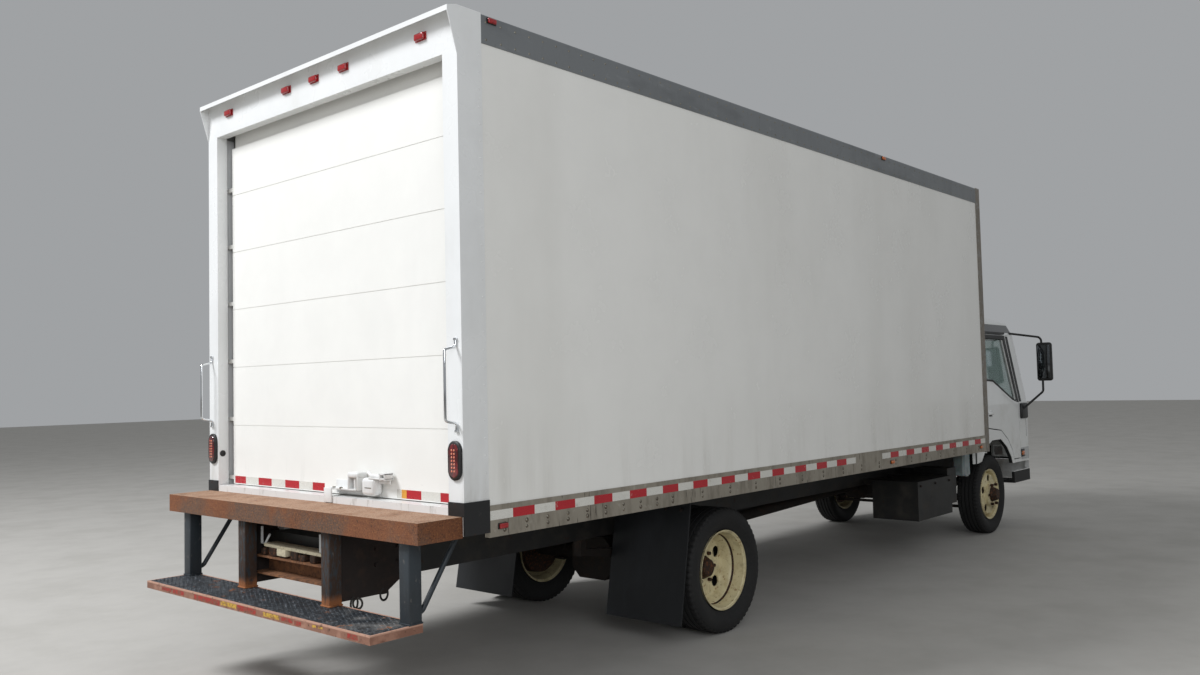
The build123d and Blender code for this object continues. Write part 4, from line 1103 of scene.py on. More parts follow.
def grab_handles():
    """Chrome bars bent in to their flanges on the rear posts, and the plug beside the left lamp."""
    radius = bpy.context.scene.truck_sizes.handle_radius
    low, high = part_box("grab_handles")
    root, stand = REAR_X - 0.005, low.x + radius
    z0, z1 = low.z + radius, high.z - radius
    bends = (
        (root, z0), (root, z0 + 0.036), (stand, z0 + 0.050),
        (stand, z1 - 0.050), (root, z1 - 0.036), (root, z1),
    )
    bars = bmesh.new()
    for side in (1, -1):
        y = side * HANDLE_Y
        add_tube(bars, bent_bar([(x, y, z) for x, z in bends], 0.016, 6), radius, 20)
        for z in (z0, z1):
            add_box(
                bars, (REAR_X - 0.012, REAR_X), (y - 0.010, y + 0.010), (z - 0.006, z + 0.006),
                0.002,
            )
    add_piece("chrome_handles", bars, "chrome_plate", "chassis", ["grab_handles"])
    bm = bmesh.new()
    cup = [
        (-0.001, 0.0005), (-0.001, 0.019), (0.003, 0.019),
        (0.006, 0.015), (0.006, 0.010), (0.002, 0.008),
        (0.002, 0.0005),
    ]
    add_turned(bm, Vector((REAR_X + 0.028, POST_INNER, 1.262)), cup, 32, -1)
    add_plastic("jamb_plug", bm, "chassis")


def door_latch():
    """The door's latch: a ledge on its leg, hasp, lock body and a lever with a thick grip."""
    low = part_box("door_latch")[0]
    face = DOOR[0].x
    bm = bmesh.new()
    add_box(bm, (face - 0.006, face), (-0.413, -0.060), (1.098, 1.150), 0.002)
    add_box(bm, (face - 0.068, face - 0.004), (-0.330, -0.068), (1.104, 1.112), 0.0015)
    add_box(bm, (face - 0.012, face - 0.004), (-0.330, -0.068), (1.078, 1.110), 0.0015)
    add_box(bm, (REAR_X - 0.010, REAR_X - 0.001), (-0.136, -0.068), (1.034, 1.112), 0.0015)
    add_box(bm, (REAR_X - 0.004, face - 0.060), (-0.136, -0.068), (1.104, 1.112), 0.0015)
    for y in (-0.258, -0.340):
        add_box(bm, (low.x + 0.002, face - 0.004), (y - 0.010, y), (1.106, 1.186), 0.003)
    add_box(bm, (low.x, face - 0.004), (-0.354, -0.254), (1.168, 1.202), 0.014, 4)
    add_tube(bm, [(face - 0.045, -0.304, 1.110), (face - 0.045, -0.304, 1.175)], 0.012, 20)
    add_box(bm, (low.x + 0.002, face - 0.005), (-0.490, -0.380), (1.084, 1.176), 0.020, 5)
    lever = [(face - 0.052, y, z) for y, z in ((-0.425, 1.205), (-0.450, 1.190), (-0.545, 1.186))]
    add_tube(bm, bent_bar(lever, 0.012, 5), 0.010, 14, 0.7)
    add_box(bm, (face - 0.066, face - 0.010), (-0.586, -0.440), (1.171, 1.180), 0.003)
    add_box(bm, (face - 0.030, face - 0.022), (-0.580, -0.452), (1.146, 1.174), 0.002)
    for y, z in (
        ((-0.586, -0.578), (1.168, 1.204)), ((-0.545, -0.537), (1.168, 1.204)),
        ((-0.586, -0.537), (1.196, 1.204)),
    ):
        add_box(bm, (low.x + 0.002, face - 0.012), y, z, 0.002)
    add_piece("latch_body", bm, "enamel_post_white", "chassis", ["door_latch"])
    bm = bmesh.new()
    # painted shade: a thin grey strip across the lock body stands for its dark slot
    add_box(bm, (low.x - 0.0004, low.x + 0.003), (-0.470, -0.415), (1.124, 1.128), 0.0008)
    for y in (-0.125, -0.190):
        add_tube(bm, [(face - 0.062, y, 1.108), (face - 0.062, y, 1.118)], 0.009, 6)
    # painted shade: a grey plate at the back of the grip's recess
    add_box(bm, (face - 0.034, face - 0.030), (-0.576, -0.548), (1.172, 1.192), 0.001)
    add_piece("latch_pivot", bm, "zinc_bolt", "chassis")


TREAD_RADIUS, BEAD_RADIUS = 0.4053, 0.2606

# Half width of a groove at the tread and at its foot, and where the two outer grooves run
GROOVE_TOP, GROOVE_FOOT = 0.0062, 0.0048
GROOVES = (0.058, 0.020)

# Notches cut into the shoulders beyond this place and radius, and how far they go in and down
SHOULDER, SHOULDER_RADIUS = 0.063, 0.386
NOTCH_IN, NOTCH_DOWN = 0.0015, 0.009

TYRE_WALL = (
    # outboard, radius from the bead up to the edge of the tread
    (0.078, BEAD_RADIUS), (0.083, 0.266), (0.089, 0.279),
    (0.0925, 0.288), (0.098, 0.298), (0.1055, 0.315),
    (0.1115, 0.335), (0.1128, 0.350), (0.1105, 0.368),
    (0.1062, 0.382), (0.1035, 0.386), (0.1000, 0.3935),
    (0.0965, 0.4000), (0.093, 0.4028), (0.088, TREAD_RADIUS - 0.0012),
)


def tyre_profile(grooved, depth):
    """Section points of a tyre, (outboard, radius) in metres: beads, walls, shoulders and ribs."""
    right = list(TYRE_WALL)
    foot = TREAD_RADIUS - (depth if grooved else depth * 0.7)
    for middle in GROOVES:
        right += [
            (middle + GROOVE_TOP, TREAD_RADIUS - 0.0006), (middle + GROOVE_FOOT, foot),
            (middle - GROOVE_FOOT, foot), (middle - GROOVE_TOP, TREAD_RADIUS),
        ]
    left = [(-reach, height) for reach, height in reversed(right)]
    return right + left + [(-0.074, BEAD_RADIUS), (0.074, BEAD_RADIUS)]


def add_tyre(bm, centre, side, blocks, depth, grooved):
    """A tyre turned from its section, its shoulders cut into blocks."""
    profile = tyre_profile(grooved, depth)
    rings = []
    for step, angle in enumerate(angles(blocks * 3)):
        ring = []
        for out, radius in profile:
            if step % 3 == 0 and abs(out) > SHOULDER and radius > SHOULDER_RADIUS:
                out, radius = out - math.copysign(NOTCH_IN, out), radius - NOTCH_DOWN
            spot = Vector((radius * math.cos(angle), side * out, radius * math.sin(angle)))
            ring.append(bm.verts.new(centre + spot))
        rings.append(ring)
    skin(bm, rings, closed=True)


RIM = (
    # outboard, radius of a rim's outer skin from the inner flange to the outer one
    (-0.0905, 0.2600), (-0.0905, 0.2530), (-0.0835, 0.2510), (-0.078, 0.2430), (-0.055, 0.2380),
    (-0.030, 0.2320), (0.010, 0.2320), (0.036, 0.2350), (0.055, 0.2400), (0.078, 0.2430),
    (0.0835, 0.2510), (0.0905, 0.2530), (0.0905, 0.2600),
)


def add_rim(bm, centre, side):
    """A rim barrel: flanges, beads and the well between them, with a wall."""
    lips = 0, len(RIM) - 1
    outer = [
        (reach, 0.2604 if i in lips else radius + 0.0058) for i, (reach, radius) in enumerate(RIM)
    ]
    add_turned(bm, centre, [*RIM, *reversed(outer)], 96, side)


FRONT_DISC = (
    # outboard, radius down the face of the front wheel's disc, then its back
    (0.018, 0.2322), (0.026, 0.2250), (0.060, 0.2120),
    (0.078, 0.2030), (0.080, 0.1400), (0.086, 0.1290),
    (0.110, 0.125), (0.1135, 0.1200), (0.1135, 0.0810),
    (0.1035, 0.0810), (0.1035, 0.1180), (0.078, 0.1230),
    (0.070, 0.1360), (0.068, 0.2000), (0.052, 0.2050),
    (0.018, 0.2180), (0.006, 0.2270), (0.006, 0.2322),
)
REAR_DISC = (
    # outboard of the twin wheels' mounting face, radius: a flat crown deep in the barrel
    (0.130, 0.2362), (0.126, 0.2270), (0.112, 0.2180),
    (0.085, 0.2110), (0.065, 0.2060), (0.057, 0.2010),
    (0.055, 0.1950), (0.055, 0.0780), (0.045, 0.0780),
    (0.045, 0.1960), (0.048, 0.2060), (0.058, 0.2130),
    (0.082, 0.2190), (0.106, 0.2260), (0.114, 0.2345),
)
INNER_DISC = (
    # the shallow disc of the inner twin, behind the same face
    (-0.085, 0.2362), (-0.060, 0.2250), (-0.012, 0.2080), (-0.001, 0.2000), (0.0, 0.0780),
    (-0.010, 0.0780), (-0.010, 0.1980), (-0.020, 0.2070), (-0.066, 0.2190), (-0.095, 0.2345),
)

# A disc's hand holes and nuts, and how far each of the twins stands from their middle
HOLES, HOLE_CIRCLE, HOLE_RADIUS = 5, 0.166, 0.038
NUTS = 6
TWIN = 0.131


def cut_holes(mesh, centre, depth, start):
    """Cuts the round hand holes through a disc, the first at start degrees."""
    disc = link("disc", mesh)
    bm = bmesh.new()
    for step in range(HOLES):
        angle = math.radians(start + 360 / HOLES * step)
        middle = centre + Vector((HOLE_CIRCLE * math.cos(angle), 0, HOLE_CIRCLE * math.sin(angle)))
        place = Matrix.Translation(middle) @ Matrix.Rotation(math.radians(90), 4, "X")
        bmesh.ops.create_cone(
            bm, cap_ends=True, segments=32, radius1=HOLE_RADIUS, radius2=HOLE_RADIUS, depth=depth,
            matrix=place,
        )
    cutter = link("cutter", to_mesh(bm, "cutter", False))
    modifier = disc.modifiers.new("holes", "BOOLEAN")
    modifier.operation = "DIFFERENCE"
    modifier.object = cutter
    modifier.solver = "EXACT"
    result = baked(disc)
    bpy.data.objects.remove(disc)
    bpy.data.objects.remove(cutter)
    return shade(result)


def join_meshes(name, meshes):
    """One mesh of several."""
    bm = bmesh.new()
    for mesh in meshes:
        bm.from_mesh(mesh)
    joined = bpy.data.meshes.new(name)
    bm.to_mesh(joined)
    bm.free()
    return shade(joined)


def stud_rows(centre, side, reach, radius):
    """Places and facings of the nuts on a circle about the wheel's axis."""
    rows = []
    for step in range(NUTS):
        angle = math.radians(90 + 360 / NUTS * (step + 0.5))
        offset = Vector((radius * math.cos(angle), side * reach, radius * math.sin(angle)))
        rows.append((centre + offset, Vector((0, side, 0))))
    return rows


def add_hub(bm, centre, side, inner, outer, radius):
    """A hub with a stepped flange and a domed cap."""
    profile = [
        (inner, 0.0008), (inner, radius), (outer - 0.062, radius), (outer - 0.058, radius - 0.004),
        (outer - 0.030, radius - 0.012), (outer - 0.026, radius - 0.017),
        (outer - 0.006, radius - 0.022),
        (outer, radius - 0.030), (outer, 0.0008),
    ]
    add_turned(bm, centre, profile, 48, side)


def add_wheels(end, plural, side, name, offsets, disc, holes, webs, hub, drums, circle, nut):
    """One side's wheels on an axle: tyres, pierced disc with rims, hub with drums, and nuts.

    holes is (depth of the cut, first angle), a drum is (profile, steps), circle is the nuts'
    (outboard, radius), and webs are the discs that aren't pierced.
    """
    sizes = bpy.context.scene.truck_sizes
    tyre, body = f"{end}_tyre{plural}_{name}", f"{end}_wheel{plural}_{name}"
    low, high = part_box(tyre)
    centre = (low + high) / 2
    spots = [centre + Vector((0, side * offset, 0)) for offset in offsets]
    bm = bmesh.new()
    for spot in spots:
        add_tyre(bm, spot, side, sizes.tread_blocks, sizes.tread_depth, end == "front")
    add_piece(f"{tyre}_look", bm, "tyre_rubber_dusty", body, [tyre])
    bm = bmesh.new()
    add_turned(bm, centre, disc, 96, side)
    pierced = cut_holes(to_mesh(bm, "disc"), centre, *holes)
    bm = bmesh.new()
    for spot in spots:
        add_rim(bm, spot, side)
    for web in webs:
        add_turned(bm, centre, web, 96, side)
    rims = join_meshes("rims", [pierced, to_mesh(bm, "rims")])
    add_piece(f"{end}_rim{plural}_{name}", rims, "ivory_wheel_paint", body, [body])
    bm = bmesh.new()
    add_hub(bm, centre, side, *hub)
    for profile, steps in drums:
        add_turned(bm, centre, profile, steps, side)
    add_piece(f"{end}_hub_{name}", bm, "machined_hub_rust", body)
    rows = stud_rows(centre, side, *circle)
    add_repeats(
        f"{end}_nuts_{name}", rows, body, "wheel_paint", "machined_hub_rust", Sides=6, **nut
    )


def wheels_and_tyres():
    """Tyres with ribs and shoulder blocks, rims, dished discs with hand holes, hubs and nuts."""
    front_drum = [(-0.034, 0.045), (-0.034, 0.190), (0.050, 0.196), (0.055, 0.190), (0.055, 0.045)]
    rear_ring = [
        (0.122, 0.2280), (0.122, 0.2350), (0.142, 0.2350), (0.137, 0.2290), (0.130, 0.2255)
    ]
    rear_drum = [
        (-0.175, 0.060), (-0.175, 0.190), (-0.020, 0.195), (-0.014, 0.190), (-0.014, 0.060)
    ]
    for side, name in SIDES:
        add_wheels(
            "front", "", side, name, (0.0,), FRONT_DISC, (0.4, 90), (),
            (-0.030, 0.174, 0.080), [(front_drum, 64)], (0.122, 0.1111),
            {"Radius": 0.0165, "Top_Radius": 0.0145, "Height": 0.026},
        )
        add_wheels(
            "rear", "s", side, name, (-TWIN, TWIN), REAR_DISC, (0.3, 103), (INNER_DISC,),
            (-0.18, 0.105, 0.079), [(rear_ring, 96), (rear_drum, 64)], (0.0545, 0.1000),
            {"Radius": 0.0130, "Top_Radius": 0.0120, "Height": 0.022},
        )


def pillar_x(z):
    """How far forward the cab's front face stands at a height, in metres."""
    return SHELL[1].x - max(z - SILL_Z, 0) * FRONT_LEAN / LEAN_HEIGHT


def cheek_y(z):
    """Half the cab's width at a height, in metres."""
    return CAB_HALF - max(z - SILL_Z, 0) * CHEEK_LEAN / LEAN_HEIGHT


def closed_bead(bm, corners, bend, radius):
    """A rubber bead round a window: a closed bar through corners with rounded turns."""
    middle = (Vector(corners[0]) + Vector(corners[-1])) / 2
    add_tube(bm, bent_bar([middle, *corners, middle], bend, 5), radius, 10, 0.8)


def window_rubbers():
    """Black beads round the windscreen, rear window and door windows."""
    radius = bpy.context.scene.truck_sizes.seal_radius
    bm = bmesh.new()
    screen = [(-0.865, 1.375), (0.865, 1.375), (0.825, 2.052), (-0.825, 2.052)]
    closed_bead(bm, [(pillar_x(z) - 0.002, y, z) for y, z in screen], 0.07, radius)
    back = [(-0.62, 1.52), (0.62, 1.52), (0.62, 1.96), (-0.62, 1.96)]
    closed_bead(bm, [(SHELL[0].x + 0.006, y, z) for y, z in back], 0.06, radius)
    add_plastic("cab_window_rubbers", bm)
    for side, name in SIDES:
        bm = bmesh.new()
        closed_bead(bm, [(x, side * (cheek_y(z) - 0.003), z) for x, z in WINDOW], 0.024, radius)
        add_plastic(f"door_rubber_{name}", bm, f"door_{name}")


def door_handles():
    """White pull handles on each door behind its window sill, with a black strip under the grip as
    painted shade of its recess, and a lock.
    """
    back = CAB_DOOR[0].x
    for side, name in SIDES:
        y = side * cheek_y(1.2)
        bm = bmesh.new()
        add_box(
            bm, (back + 0.02, back + 0.15), (y - side * 0.004, y + side * 0.004), (1.215, 1.285),
            0.003,
        )
        grip_y = (y + side * 0.003, y + side * 0.022)
        add_box(bm, (back + 0.03, back + 0.14), grip_y, (1.238, 1.266), 0.008, 3)
        add_piece(f"door_pull_{name}", bm, "cab_enamel_white", f"door_{name}")
        bm = bmesh.new()
        # painted shade: a black strip under the grip, where its recess is
        recess_y = (y + side * 0.0035, y + side * 0.0055)
        add_box(bm, (back + 0.045, back + 0.125), recess_y, (1.222, 1.236), 0.002)
        lock_y = (y - side * 0.002, y + side * 0.005)
        add_box(bm, (back + 0.148, back + 0.166), lock_y, (1.244, 1.262), 0.004, 3)
        add_plastic(f"door_lock_{name}", bm, f"door_{name}")


def mirrors():
    """Mirror housings with rounded backs, their silvered glass and bent arms."""
    arms, housings, glass = bmesh.new(), bmesh.new(), bmesh.new()
    x = FACE_X - 0.262
    stem = x - 0.03
    for side in (1, -1):
        y0, y1, arm = side * 1.187, side * 1.346, side * 1.246
        add_box(housings, (x - 0.046, x + 0.028), (y0, y1), (1.574, 1.993), 0.028, 5)
        glass_y = (y0 + side * 0.016, y1 - side * 0.016)
        add_box(glass, (x - 0.0495, x - 0.044), glass_y, (1.60, 1.965), 0.002)
        for line in (
            [(x - 0.29, side * 0.955, 2.105), (stem, arm, 2.050), (stem, arm, 1.93)],
            [(stem, arm, 1.63), (stem, arm, 1.46), (x - 0.11, side * 1.040, 1.262)],
        ):
            add_tube(arms, bent_bar(line, 0.05, 6), 0.0115, 12)
        add_box(arms, (x - 0.16, x - 0.04), (side * 1.031, side * 1.050), (1.202, 1.298), 0.006, 3)
    add_plastic("mirror_arms", arms, "cab", ["mirrors"])
    add_plastic("mirror_housings", housings)
    add_piece("mirror_glass", glass, "mirror_silver", "cab")


def wipers():
    """Two wipers at rest along the windscreen's sill."""
    bm = bmesh.new()
    pivot = [(-0.014, 0.0005), (-0.014, 0.014), (0.014, 0.014), (0.014, 0.0005)]
    for y in (-0.62, 0.12):
        arm = ((0.0, 1.370), (0.16, 1.395), (0.34, 1.412))
        add_tube(bm, [(pillar_x(z) + 0.010, y + along, z) for along, z in arm], 0.006, 10)
        blade = ((0.10, 1.425), (0.35, 1.432), (0.60, 1.425))
        add_tube(bm, [(pillar_x(z) + 0.006, y + along, z) for along, z in blade], 0.005, 8, 1.6)
        add_turned(bm, Vector((pillar_x(1.365), y, 1.365)), pivot, 20)
    add_plastic("wipers", bm)


def cab_trim():
    """Side lamps, lamp bezels, covers under the pillars, shut lines and black window frames."""
    black, amber = bmesh.new(), bmesh.new()
    low, high = CAB_DOOR
    pillar = (
        (high.x + 0.012, 1.352), (high.x + 0.075, 1.352),
        (high.x - 0.170, 2.062), (high.x - 0.236, 2.062),
    )
    roof = (
        (low.x + 0.010, 2.084), (high.x - 0.260, 2.084),
        (high.x - 0.232, 2.106), (low.x + 0.010, 2.106),
    )
    frame_edge = (
        # outer corner of the frame at each corner of the window, x and z
        (low.x + 0.004, 1.590), (low.x + 0.236, 1.578), (high.x - 0.196, 1.378),
        (high.x - 0.004, 1.345), (high.x - 0.262, 2.072), (low.x + 0.004, 2.072),
    )
    boxes = (
        # form, x back from the face, y out from the cheek, z, edge, segments
        (amber, (0.422, 0.352), (-0.002, 0.014), (0.768, 0.812), 0.006, 3),
        (black, (0.438, 0.334), (-0.003, 0.006), (0.748, 0.832), 0.003, 2),
        (black, (0.425, 0.225), (-0.004, 0.026), (1.165, 1.335), 0.018, 4),
        (black, (0.246, 0.240), (-0.001, 0.0008), (0.965, 1.165), 0.0003, 2),
    )
    for side, name in SIDES:
        for bm, x, y, z, edge, segments in boxes:
            out = [side * (CAB_HALF + reach) for reach in y]
            add_box(bm, [FACE_X - back for back in x], out, z, edge, segments)
        for outline in (pillar, roof):
            layers = []
            for reach in (-0.0005, 0.0025):
                places = [(x, side * (cheek_y(z) + reach), z) for x, z in outline]
                layers.append([black.verts.new(place) for place in places])
            skin(black, layers)
        bm = bmesh.new()
        corners = []
        for inner, outer in zip(WINDOW, frame_edge):
            corner = ((*inner, -0.0005), (*inner, 0.0022), (*outer, 0.0022), (*outer, -0.0005))
            places = [(x, side * (cheek_y(z) + reach), z) for x, z, reach in corner]
            corners.append([bm.verts.new(place) for place in places])
        skin(bm, corners, closed=True)
        add_plastic(f"door_frame_{name}", bm, f"door_{name}", smooth=False)
    front = SHELL[1].x
    for y in (-0.66, 0.66):
        add_box(
            amber, (front - 0.003, front + 0.006), (y - 0.045, y + 0.045), (0.735, 0.835), 0.004, 3
        )
    add_box(black, (front - 0.004, front + 0.003), (-0.60, 0.60), (1.225, 1.265), 0.002)
    add_plastic("cab_black_trim", black)
    add_piece("cab_amber_lamps", amber, "amber_lamp_lens", "cab")


def sun_visor():
    """The dark visor over the windscreen: a bowed sheet between two end plates."""
    bm = bmesh.new()
    half, top, low = 0.90, 2.150, 2.045
    root, tip = pillar_x(top) - 0.006, pillar_x(low) + 0.085
    rows = []
    for step in range(17):
        y = half * (step / 8 - 1)
        bow = 0.030 * (y / half) ** 2
        outline = (
            (root, top), (tip - bow, low), (tip - bow - 0.005, low - 0.005), (root, top - 0.008)
        )
        rows.append([bm.verts.new((x, y, z)) for x, z in outline])
    skin(bm, rows)
    foot = low - 0.03
    wall = ((pillar_x(foot) + 0.002, foot), (pillar_x(low) - 0.004, low))
    outline = ((root, top), (tip - 0.030, low), *wall)
    for y in (-half, half):
        skin(
            bm, [[bm.verts.new((x, y + shift, z)) for x, z in outline] for shift in (-0.003, 0.003)]
        )
    add_plastic("sun_visor", bm)


def steering_wheel():
    """A round rim with three spokes and a padded hub on its column."""
    top = Vector((FACE_X - 0.866, DRIVER_Y, 1.640))
    foot = Vector((FACE_X - 0.566, DRIVER_Y, 0.985))
    axis = (top - foot).normalized()
    across = Vector((0, 1, 0))
    up = axis.cross(across)
    rim, grip = 0.212, 0.0125
    bm = bmesh.new()
    rings = []
    for a in angles(64):
        out = across * math.cos(a) + up * math.sin(a)
        turns = [(out * math.cos(b) + axis * math.sin(b)) * grip for b in angles(12)]
        rings.append([bm.verts.new(top + out * rim + turn) for turn in turns])
    skin(bm, rings, closed=True)
    for angle in (0, 180, 270):
        out = across * math.cos(math.radians(angle)) + up * math.sin(math.radians(angle))
        add_tube(bm, [top + out * 0.03, top + out * 0.205], 0.013, 10, 0.6)
    add_tube(bm, [top - axis * 0.02, top + axis * 0.010], 0.062, 28)
    add_tube(bm, [foot + axis * 0.06, top - axis * 0.015], 0.027, 20)
    add_piece("steering_rim", bm, "grey_dash_plastic", "cab", ["steering_wheel"])


def dash_details():
    """Instrument hood, vents and the lip along the dashboard."""
    bm = bmesh.new()
    x = FACE_X - 0.50
    add_box(bm, (x - 0.02, x + 0.20), (0.35, 0.69), (1.27, 1.36), 0.03, 4)
    for y in (-0.80, -0.52, 0.02, 0.16, 0.82):
        add_box(bm, (x - 0.046, x), (y - 0.055, y + 0.055), (1.165, 1.225), 0.008, 3)
    add_box(bm, (x - 0.05, x), (-0.42, -0.08), (1.12, 1.24), 0.012, 3)
    add_piece("dash_mouldings", bm, "grey_dash_plastic", "cab")


def tank_straps():
    """Steel straps round the fuel tank and its filler cap."""
    low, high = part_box("fuel_tank")
    inner_y, inset = 0.4705, 0.22
    middle_y, middle_z = (low.y + high.y) / 2 + 0.02, (low.z + high.z) / 2
    bm = bmesh.new()
    for x in (low.x + inset, high.x - inset):
        corners = [
            (x, inner_y, low.z), (x, high.y, low.z), (x, high.y, high.z), (x, inner_y, high.z)
        ]
        middle = (Vector(corners[0]) + Vector(corners[-1])) / 2
        rings = []
        for place in bent_bar([middle, *corners, middle], 0.058, 6)[:-1]:
            out = Vector((0, place.y - middle_y, place.z - middle_z)).normalized() * 0.001
            section = ((-0.02, -2), (0.02, -2), (0.02, 1.5), (-0.02, 1.5))
            rings.append([bm.verts.new(place + Vector((dx, 0, 0)) + out * k) for dx, k in section])
        skin(bm, rings, closed=True)
    cap = [(0.0, 0.0001), (0.0, 0.045), (0.022, 0.045), (0.026, 0.038), (0.026, 0.0001)]
    add_turned_z(bm, Vector((high.x - 0.12, high.y - 0.10, high.z - 0.002)), cap, 24)
    add_piece("tank_straps", bm, "zinc_bolt", "chassis")


def add_turned_z(bm, base, profile, steps):
    """A form turned about the upright axis through base. profile is (height, radius) in metres."""
    layers = []
    for h, r in profile:
        places = [base + Vector((r * math.cos(a), r * math.sin(a), h)) for a in angles(steps)]
        layers.append([bm.verts.new(place) for place in places])
    skin(bm, layers)


def spring_clamps():
    """U-bolts over the leaf springs and the plates under them."""
    spring_y, leg = 0.3905, 0.040
    bm = bmesh.new()
    for tyre, base, top in (("front_tyre_left", 0.33, 0.432), ("rear_tyres_left", 0.36, 0.542)):
        low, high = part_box(tyre)
        x = (low.x + high.x) / 2
        for side in (1, -1):
            y = side * spring_y
            legs = ((y - leg, base), (y - leg, top), (y + leg, top), (y + leg, base))
            for dx in (-0.045, 0.045):
                add_tube(
                    bm, bent_bar([(x + dx, along, z) for along, z in legs], 0.02, 5), 0.008, 10
                )
            add_box(
                bm, (x - 0.075, x + 0.075), (y - 0.055, y + 0.055),
                (base - 0.012, base + 0.004), 0.003,
            )
    add_piece("spring_clamps", bm, "cast_iron_axle", "chassis")


def step_frame():
    """The step's posts in box section with welded feet, and the slim braces to the sill."""
    low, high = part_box("step_posts")
    far, half = low.x + STEP_POST_WIDTH, STEP_POST_WIDTH / 2
    bead = 0.004
    bm = bmesh.new()
    for side in (1, -1):
        for y in [side * post for post in STEP_POST_Y]:
            add_box(bm, (low.x, far), (y - half, y + half), (low.z, high.z), 0.006, 3)
            foot_y = (y - half - bead, y + half + bead)
            add_box(bm, (low.x - bead, far + bead), foot_y, (low.z, low.z + 0.009), 0.004, 2)
        bends = (
            (far - 0.010, low.z + 0.035), (far + 0.030, low.z + 0.050), (REAR_X + 0.105, 0.937)
        )
        brace = bent_bar([(x, side * STEP_POST_Y[0], z) for x, z in bends], 0.030, 5)
        add_tube(bm, brace, 0.013, 14)
    add_piece("step_frame", bm, "chipped_post_paint", "chassis", ["step_posts"])


def drawbar_details():
    """Board, clamps and brackets on the drawbar's channel, and the chain rings under its plate."""
    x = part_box("tow_hitch")[0].x
    bm = bmesh.new()
    add_box(bm, (x + 0.012, x + 0.098), (-0.415, 0.335), (0.772, 0.790), 0.003)
    add_box(bm, (x + 0.004, x + 0.040), (0.10, 0.19), (0.735, 0.776), 0.006)
    for vert in bm.verts:
        vert.co.z += 0.012 * vert.co.y
    add_piece("cream_board", bm, "cream_board_paint", "chassis")
    bm = bmesh.new()
    for y in (0.372, -0.215):
        add_box(bm, (x + 0.020, x + 0.026), (y - 0.010, y + 0.010), (0.785, 0.884), 0.001)
        add_box(bm, (x + 0.020, x + 0.060), (y - 0.010, y + 0.010), (0.785, 0.790), 0.001)
    add_tube(bm, [(x + 0.028, 0.345, 0.790), (x + 0.030, 0.300, 0.842)], 0.006, 10)
    add_piece("sill_brackets", bm, "enamel_post_white", "chassis")
    bm = bmesh.new()
    for y, width, height in (
        (0.345, 0.040, 0.040), (0.245, 0.075, 0.050), (0.150, 0.060, 0.040), (0.030, 0.070, 0.046),
        (-0.045, 0.060, 0.034), (-0.150, 0.050, 0.044),
    ):
        clamp_y = (y - width / 2, y + width / 2)
        add_box(bm, (x + 0.010, x + 0.070), clamp_y, (0.724, 0.728 + height), 0.010, 3)
        add_tube(bm, [(x + 0.040, y, 0.73), (x + 0.040, y, 0.738 + height)], 0.011, 6)
    add_piece("channel_clamps", bm, "machined_hub_rust", "chassis")
    bm = bmesh.new()
    y, eyes, wire, oval = -0.4315, (-4.128, -3.942), 0.0055, 1.15
    for place, radius, turn in (
        ((eyes[0], y, 0.543), 0.030, 20), ((-4.110, y - 0.004, 0.540), 0.024, -50),
        ((eyes[1], y, 0.560), 0.028, 10),
    ):
        turned = Matrix.Rotation(math.radians(turn), 3, "Z")
        side = turned @ Vector((0, 1, 0))
        rings = []
        for a in angles(32):
            out = turned @ Vector((math.cos(a), 0, math.sin(a) * oval))
            turns = [(out * math.cos(b) + side * math.sin(b)) * wire for b in angles(10)]
            rings.append([bm.verts.new(Vector(place) + out * radius + turn) for turn in turns])
        skin(bm, rings, closed=True)
    for x0 in eyes:
        add_box(bm, (x0 - 0.018, x0 + 0.018), (y - 0.004, y + 0.004), (0.560, 0.600), 0.002)
    add_piece("chain_rings", bm, "chassis_black_paint", "chassis")


def underbody_details():
    """Bolt heads on the drawbar plates, the flap hangers and the battery box."""
    rows = []
    for side in (1, -1):
        for x in (REAR_X + 0.06, REAR_X + 0.20, REAR_X + 0.29):
            for z in (0.72, 0.80):
                rows.append((Vector((x, side * 0.4375, z)), Vector((0, side, 0))))
        hanger_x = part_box("mud_flaps")[0].x + 0.118
        for step in range(5):
            rows.append(
                (Vector((hanger_x, side * (0.52 + step * 0.12), 0.835)), Vector((-1, 0, 0)))
            )
    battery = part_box("battery_box")[0].x
    for along in (0.06, 0.38, 0.70):
        rows.append((Vector((battery + along, -1.0, 0.66)), Vector((0, -1, 0))))
    add_repeats(
        "under_bolts", rows, "chassis", "frame_steel", "rusted_drawbar",
        Sides=6, Radius=0.011, Top_Radius=0.0105, Height=0.012,
    )


# How far the cloth may move a cushion's points, the width of its voxels, and the frames it runs for
CUSHION_CAP = 0.016
VOXEL, QUICK_VOXEL = 0.012, 0.022
CLOTH_FRAMES = 20


def soften(name, bm):
    """Swells a closed form as a cushion: voxel remesh, cloth with pressure, moves capped."""
    piece = link(name, to_mesh(bm, name))
    bpy.context.view_layer.objects.active = piece
    remesh = piece.modifiers.new("remesh", "REMESH")
    remesh.mode = "VOXEL"
    remesh.voxel_size = VOXEL
    dense = baked(piece)
    piece.modifiers.clear()
    piece.data = dense
    rest = [v.co.copy() for v in dense.vertices]
    settings = piece.modifiers.new("cloth", "CLOTH").settings
    settings.quality = 4
    settings.use_pressure = True
    settings.uniform_pressure_force = 4.0
    settings.effector_weights.gravity = 0.0
    settings.tension_stiffness = settings.compression_stiffness = 12.0
    scene = bpy.context.scene
    for step in range(1, CLOTH_FRAMES + 1):
        scene.frame_set(step)
    moved = baked(piece)
    piece.modifiers.clear()
    for v, old in zip(moved.vertices, rest):
        shift = v.co - old
        if shift.length > CUSHION_CAP:
            v.co = old + shift.normalized() * CUSHION_CAP
    piece.data = moved
    scene.frame_set(1)
    bpy.context.view_layer.update()
    final = piece.data
    bpy.data.objects.remove(piece)
    final.shade_smooth()
    return final


